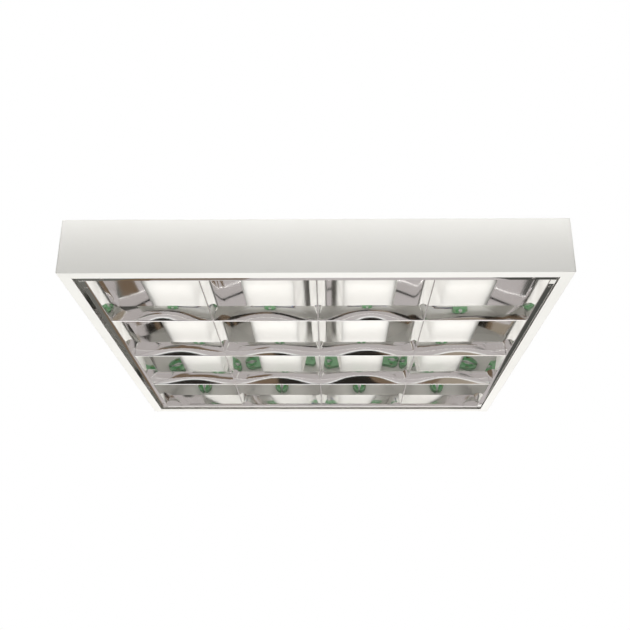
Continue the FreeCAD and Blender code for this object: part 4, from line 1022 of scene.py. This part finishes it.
class Tone(Enum):
    """Tones of the cards that stand for the room round the light."""

    LILAC = (0.5, 0.465, 0.46)
    GREY = (0.15, 0.15, 0.135)
    SLATE = (0.075, 0.075, 0.068)
    DARK = (0.02, 0.018, 0.015)
    BROWN = (0.17, 0.12, 0.08)
    TAN = (0.34, 0.29, 0.23)
    PALE = (0.92, 0.92, 0.9)


@dataclass(frozen=True)
class Wall:
    """Row of upright cards that only reflections see, each a width and a tone."""

    name: str
    turn: float
    distance: float
    low: float
    high: float
    cards: tuple[tuple[float, Tone], ...]


@dataclass(frozen=True)
class SoftBox:
    """Area lamp that points at a place; gloss shows it only where it is mirrored."""

    name: str
    place: Place
    aim: Place
    size: tuple[float, float]
    power: float
    mirrored: bool = False


@dataclass
class Studio:
    """Floor, backdrop cards, lamps, world and camera."""

    floor_level: float = -2.4
    floor_half: float = 3.4
    floor_colour: Colour = (0.82, 0.82, 0.81)
    # Glow of the floor to the eye, and more of it for light that mirrors lead to the inside.
    floor_lift: float = 0.45
    floor_boost: float = 2.0
    sky_light: float = 0.45
    sky_white: float = 1.0
    camera_place: Place = (0.0191, -1.2307, -0.4945)
    pitch: float = math.radians(21.80)
    yaw: float = math.radians(-1.13)
    roll: float = math.radians(0.30)
    # Focal length and picture width are in pixels, the sensor is in millimetres.
    focal: float = 850.8
    picture: float = 630.0
    sensor: float = 36.0
    nearest: float = 0.01
    walls: tuple[Wall, ...] = (
        Wall("far_high", 0.0, 3.0, -0.6, 1.6, ((6.0, Tone.LILAC),)),
        Wall("far_middle", 0.0, 3.0, -1.25, -0.6, (
            (1.9, Tone.GREY), (0.17, Tone.BROWN), (1.87, Tone.LILAC), (2.06, Tone.SLATE))),
        Wall("far_low", 0.0, 3.0, -2.4, -1.25, (
            (1.9, Tone.GREY), (0.66, Tone.BROWN), (1.38, Tone.LILAC), (2.06, Tone.SLATE))),
        Wall("left", 90.0, 3.0, -2.4, 1.6, (
            (2.2, Tone.LILAC), (0.4, Tone.BROWN), (0.6, Tone.DARK), (2.8, Tone.LILAC))),
        Wall("near_high", 180.0, 3.2, -0.44, 1.6, ((6.0, Tone.LILAC),)),
        Wall("near_rail", 180.0, 3.2, -0.5, -0.44, ((6.0, Tone.PALE),)),
        Wall("near_low", 180.0, 3.2, -2.4, -0.5, (
            (1.6, Tone.LILAC), (0.8, Tone.TAN), (0.28, Tone.BROWN), (0.6, Tone.DARK),
            (0.32, Tone.BROWN), (0.5, Tone.DARK), (1.9, Tone.LILAC))),
        Wall("right", 270.0, 3.0, -2.4, 1.6, (
            (2.6, Tone.LILAC), (0.5, Tone.DARK), (0.4, Tone.BROWN), (2.5, Tone.LILAC))),
    )
    lamps: tuple[SoftBox, ...] = (
        SoftBox("key_below", (0.0, -0.5, -2.1), (0.0, 0.0, 0.0), (2.2, 1.4), 25.0, mirrored=True),
        SoftBox("strip_front", (0.0, -2.3, 1.25), NEAR_SIDE, (2.6, 0.45), 4.2),
        SoftBox("strip_above", (0.0, -0.37, 0.05), NEAR_SIDE, (1.3, 0.03), 0.46),
        SoftBox("fill_far", (0.0, 1.55, -1.65), NEAR_SIDE, (1.6, 1.0), 31.0),
    )

    def card_material(self, name: str, tone: Tone) -> bpy.types.Material:
        """Make the plain material of a card, whose tone reflections show as it is.

        Args:
            name: Name of the material.
            tone: Tone of the card.

        Returns:
            The new material.
        """
        made = bpy.data.materials.new(name)
        made.use_nodes = True
        graph = Graph(made.node_tree)
        surface = graph.add("ShaderNodeEmission", {"Color": opaque(tone.value)})
        graph.add("ShaderNodeOutputMaterial", {"Surface": surface.outputs[0]})
        return made

    def floor_material(self) -> bpy.types.Material:
        """Make the pale matt floor, lifted for the eye, that mirrors see in the room's tone.

        Returns:
            The new material.
        """
        made = bpy.data.materials.new("floor_pale")
        made.use_nodes = True
        graph = Graph(made.node_tree)
        matt = graph.add("ShaderNodeBsdfDiffuse", {"Color": opaque(self.floor_colour)})
        path = graph.add("ShaderNodeLightPath").outputs
        lift = graph.add("ShaderNodeEmission", {
            "Color": opaque(self.floor_colour),
            "Strength": graph.math("MULTIPLY", path["Is Camera Ray"], self.floor_lift)})
        pale = graph.add("ShaderNodeAddShader", {0: matt.outputs[0], 1: lift.outputs[0]})
        inside = graph.math("MINIMUM", path["Diffuse Depth"], 1.0)
        strength = graph.math("ADD", graph.math("MULTIPLY", inside, self.floor_boost), 1.0)
        glow = graph.add("ShaderNodeEmission", {
            "Color": opaque(Tone.LILAC.value), "Strength": strength})
        mixed = graph.add("ShaderNodeMixShader", {
            0: path["Is Glossy Ray"], 1: pale.outputs[0], 2: glow.outputs[0]})
        graph.add("ShaderNodeOutputMaterial", {"Surface": mixed.outputs[0]})
        return made

    def panel(self, name: str, middle: Vector, size: tuple[float, float],
              facing: Vector) -> bpy.types.Object:
        """Make a flat panel of the stage.

        Args:
            name: Name of the panel.
            middle: Place of its middle.
            size: Its width and height.
            facing: Direction in which it faces.

        Returns:
            The new panel, with no material yet.
        """
        mesh = bmesh.new()
        bmesh.ops.create_grid(mesh, x_segments=1, y_segments=1, size=0.5)
        bmesh.ops.scale(mesh, vec=(*size, 1.0), verts=mesh.verts)
        turn = facing.to_track_quat("Z", "Y").to_matrix().to_4x4()
        bmesh.ops.transform(mesh, matrix=Matrix.Translation(middle) @ turn, verts=mesh.verts)
        panel = as_piece(mesh, name)
        return panel

    def floor(self) -> None:
        """Lay the floor below the light."""
        side = 2 * self.floor_half
        floor = self.panel("floor", Z_AXIS * self.floor_level, (side, side), Z_AXIS)
        floor.data.materials.append(self.floor_material())

    def wall(self, wall: Wall) -> None:
        """Stand a wall's cards side by side, seen by reflections alone.

        Args:
            wall: The wall.
        """
        turn = Matrix.Rotation(math.radians(wall.turn), 4, "Z")
        height = wall.high - wall.low
        at = -sum(width for width, _ in wall.cards) / 2
        for number, (width, tone) in enumerate(wall.cards):
            middle = turn @ Vector((at + width / 2, wall.distance, wall.low + height / 2))
            card = self.panel(f"card_{wall.name}_{number}", middle, (width, height), turn @ -Y_AXIS)
            card.data.materials.append(self.card_material(card.name, tone))
            card.visible_camera = card.visible_diffuse = card.visible_shadow = False
            at += width

    def world(self) -> None:
        """Make the world white to the eye and to reflections, and softer as a light."""
        world = bpy.data.worlds.new("studio")
        bpy.context.scene.world = world
        world.use_nodes = True
        graph = Graph(world.node_tree)
        path = graph.add("ShaderNodeLightPath").outputs
        seen = graph.math("MAXIMUM", path["Is Camera Ray"],
                          graph.math("MAXIMUM", path["Is Glossy Ray"], path["Is Transmission Ray"]))
        soft, white = (
            graph.add("ShaderNodeBackground", {"Color": opaque(WHITE), "Strength": strength})
            for strength in (self.sky_light, self.sky_white))
        mixed = graph.add("ShaderNodeMixShader", {
            0: seen, 1: soft.outputs[0], 2: white.outputs[0]})
        graph.add("ShaderNodeOutputWorld", {"Surface": mixed.outputs[0]})

    def lamp(self, box: SoftBox) -> None:
        """Hang a soft box.

        Args:
            box: The soft box.
        """
        data = bpy.data.lights.new(box.name, "AREA")
        data.shape = "RECTANGLE"
        data.size, data.size_y = box.size
        data.energy = box.power
        lamp = bpy.data.objects.new(box.name, data)
        lamp.location = box.place
        way = Vector(box.aim) - Vector(box.place)
        lamp.rotation_euler = way.to_track_quat("-Z", "Y").to_euler()
        lamp.visible_camera = False
        lamp.visible_glossy = box.mirrored
        bpy.context.scene.collection.objects.link(lamp)

    def camera(self) -> None:
        """Set up the camera at the photograph's viewing angle."""
        ahead = Vector((math.sin(self.yaw) * math.cos(self.pitch),
                        math.cos(self.yaw) * math.cos(self.pitch), math.sin(self.pitch)))
        level = Vector((math.cos(self.yaw), -math.sin(self.yaw), 0.0))
        upright = level.cross(ahead)
        right = math.cos(self.roll) * level + math.sin(self.roll) * upright
        up = math.cos(self.roll) * upright - math.sin(self.roll) * level
        data = bpy.data.cameras.new("camera")
        data.sensor_width = self.sensor
        data.lens = self.focal * self.sensor / self.picture
        data.clip_start = self.nearest
        camera = bpy.data.objects.new("camera", data)
        turn = Matrix((right, up, -ahead)).transposed().to_4x4()
        camera.matrix_world = Matrix.Translation(self.camera_place) @ turn
        bpy.context.scene.collection.objects.link(camera)
        bpy.context.scene.camera = camera

    def build(self) -> None:
        """Set up everything round the light."""
        bpy.context.scene.view_settings.view_transform = "Standard"
        self.floor()
        for wall in self.walls:
            self.wall(wall)
        self.world()
        for box in self.lamps:
            self.lamp(box)
        self.camera()


def main() -> None:
    """Build the sub-assemblies in order."""
    logging.basicConfig(level=logging.INFO, format="%(message)s")
    for assembly in (Housing(), Louvre(), Studio()):
        LOG.info("building %s", type(assembly).__name__)
        assembly.build()


if __name__ == "__main__":
    main()
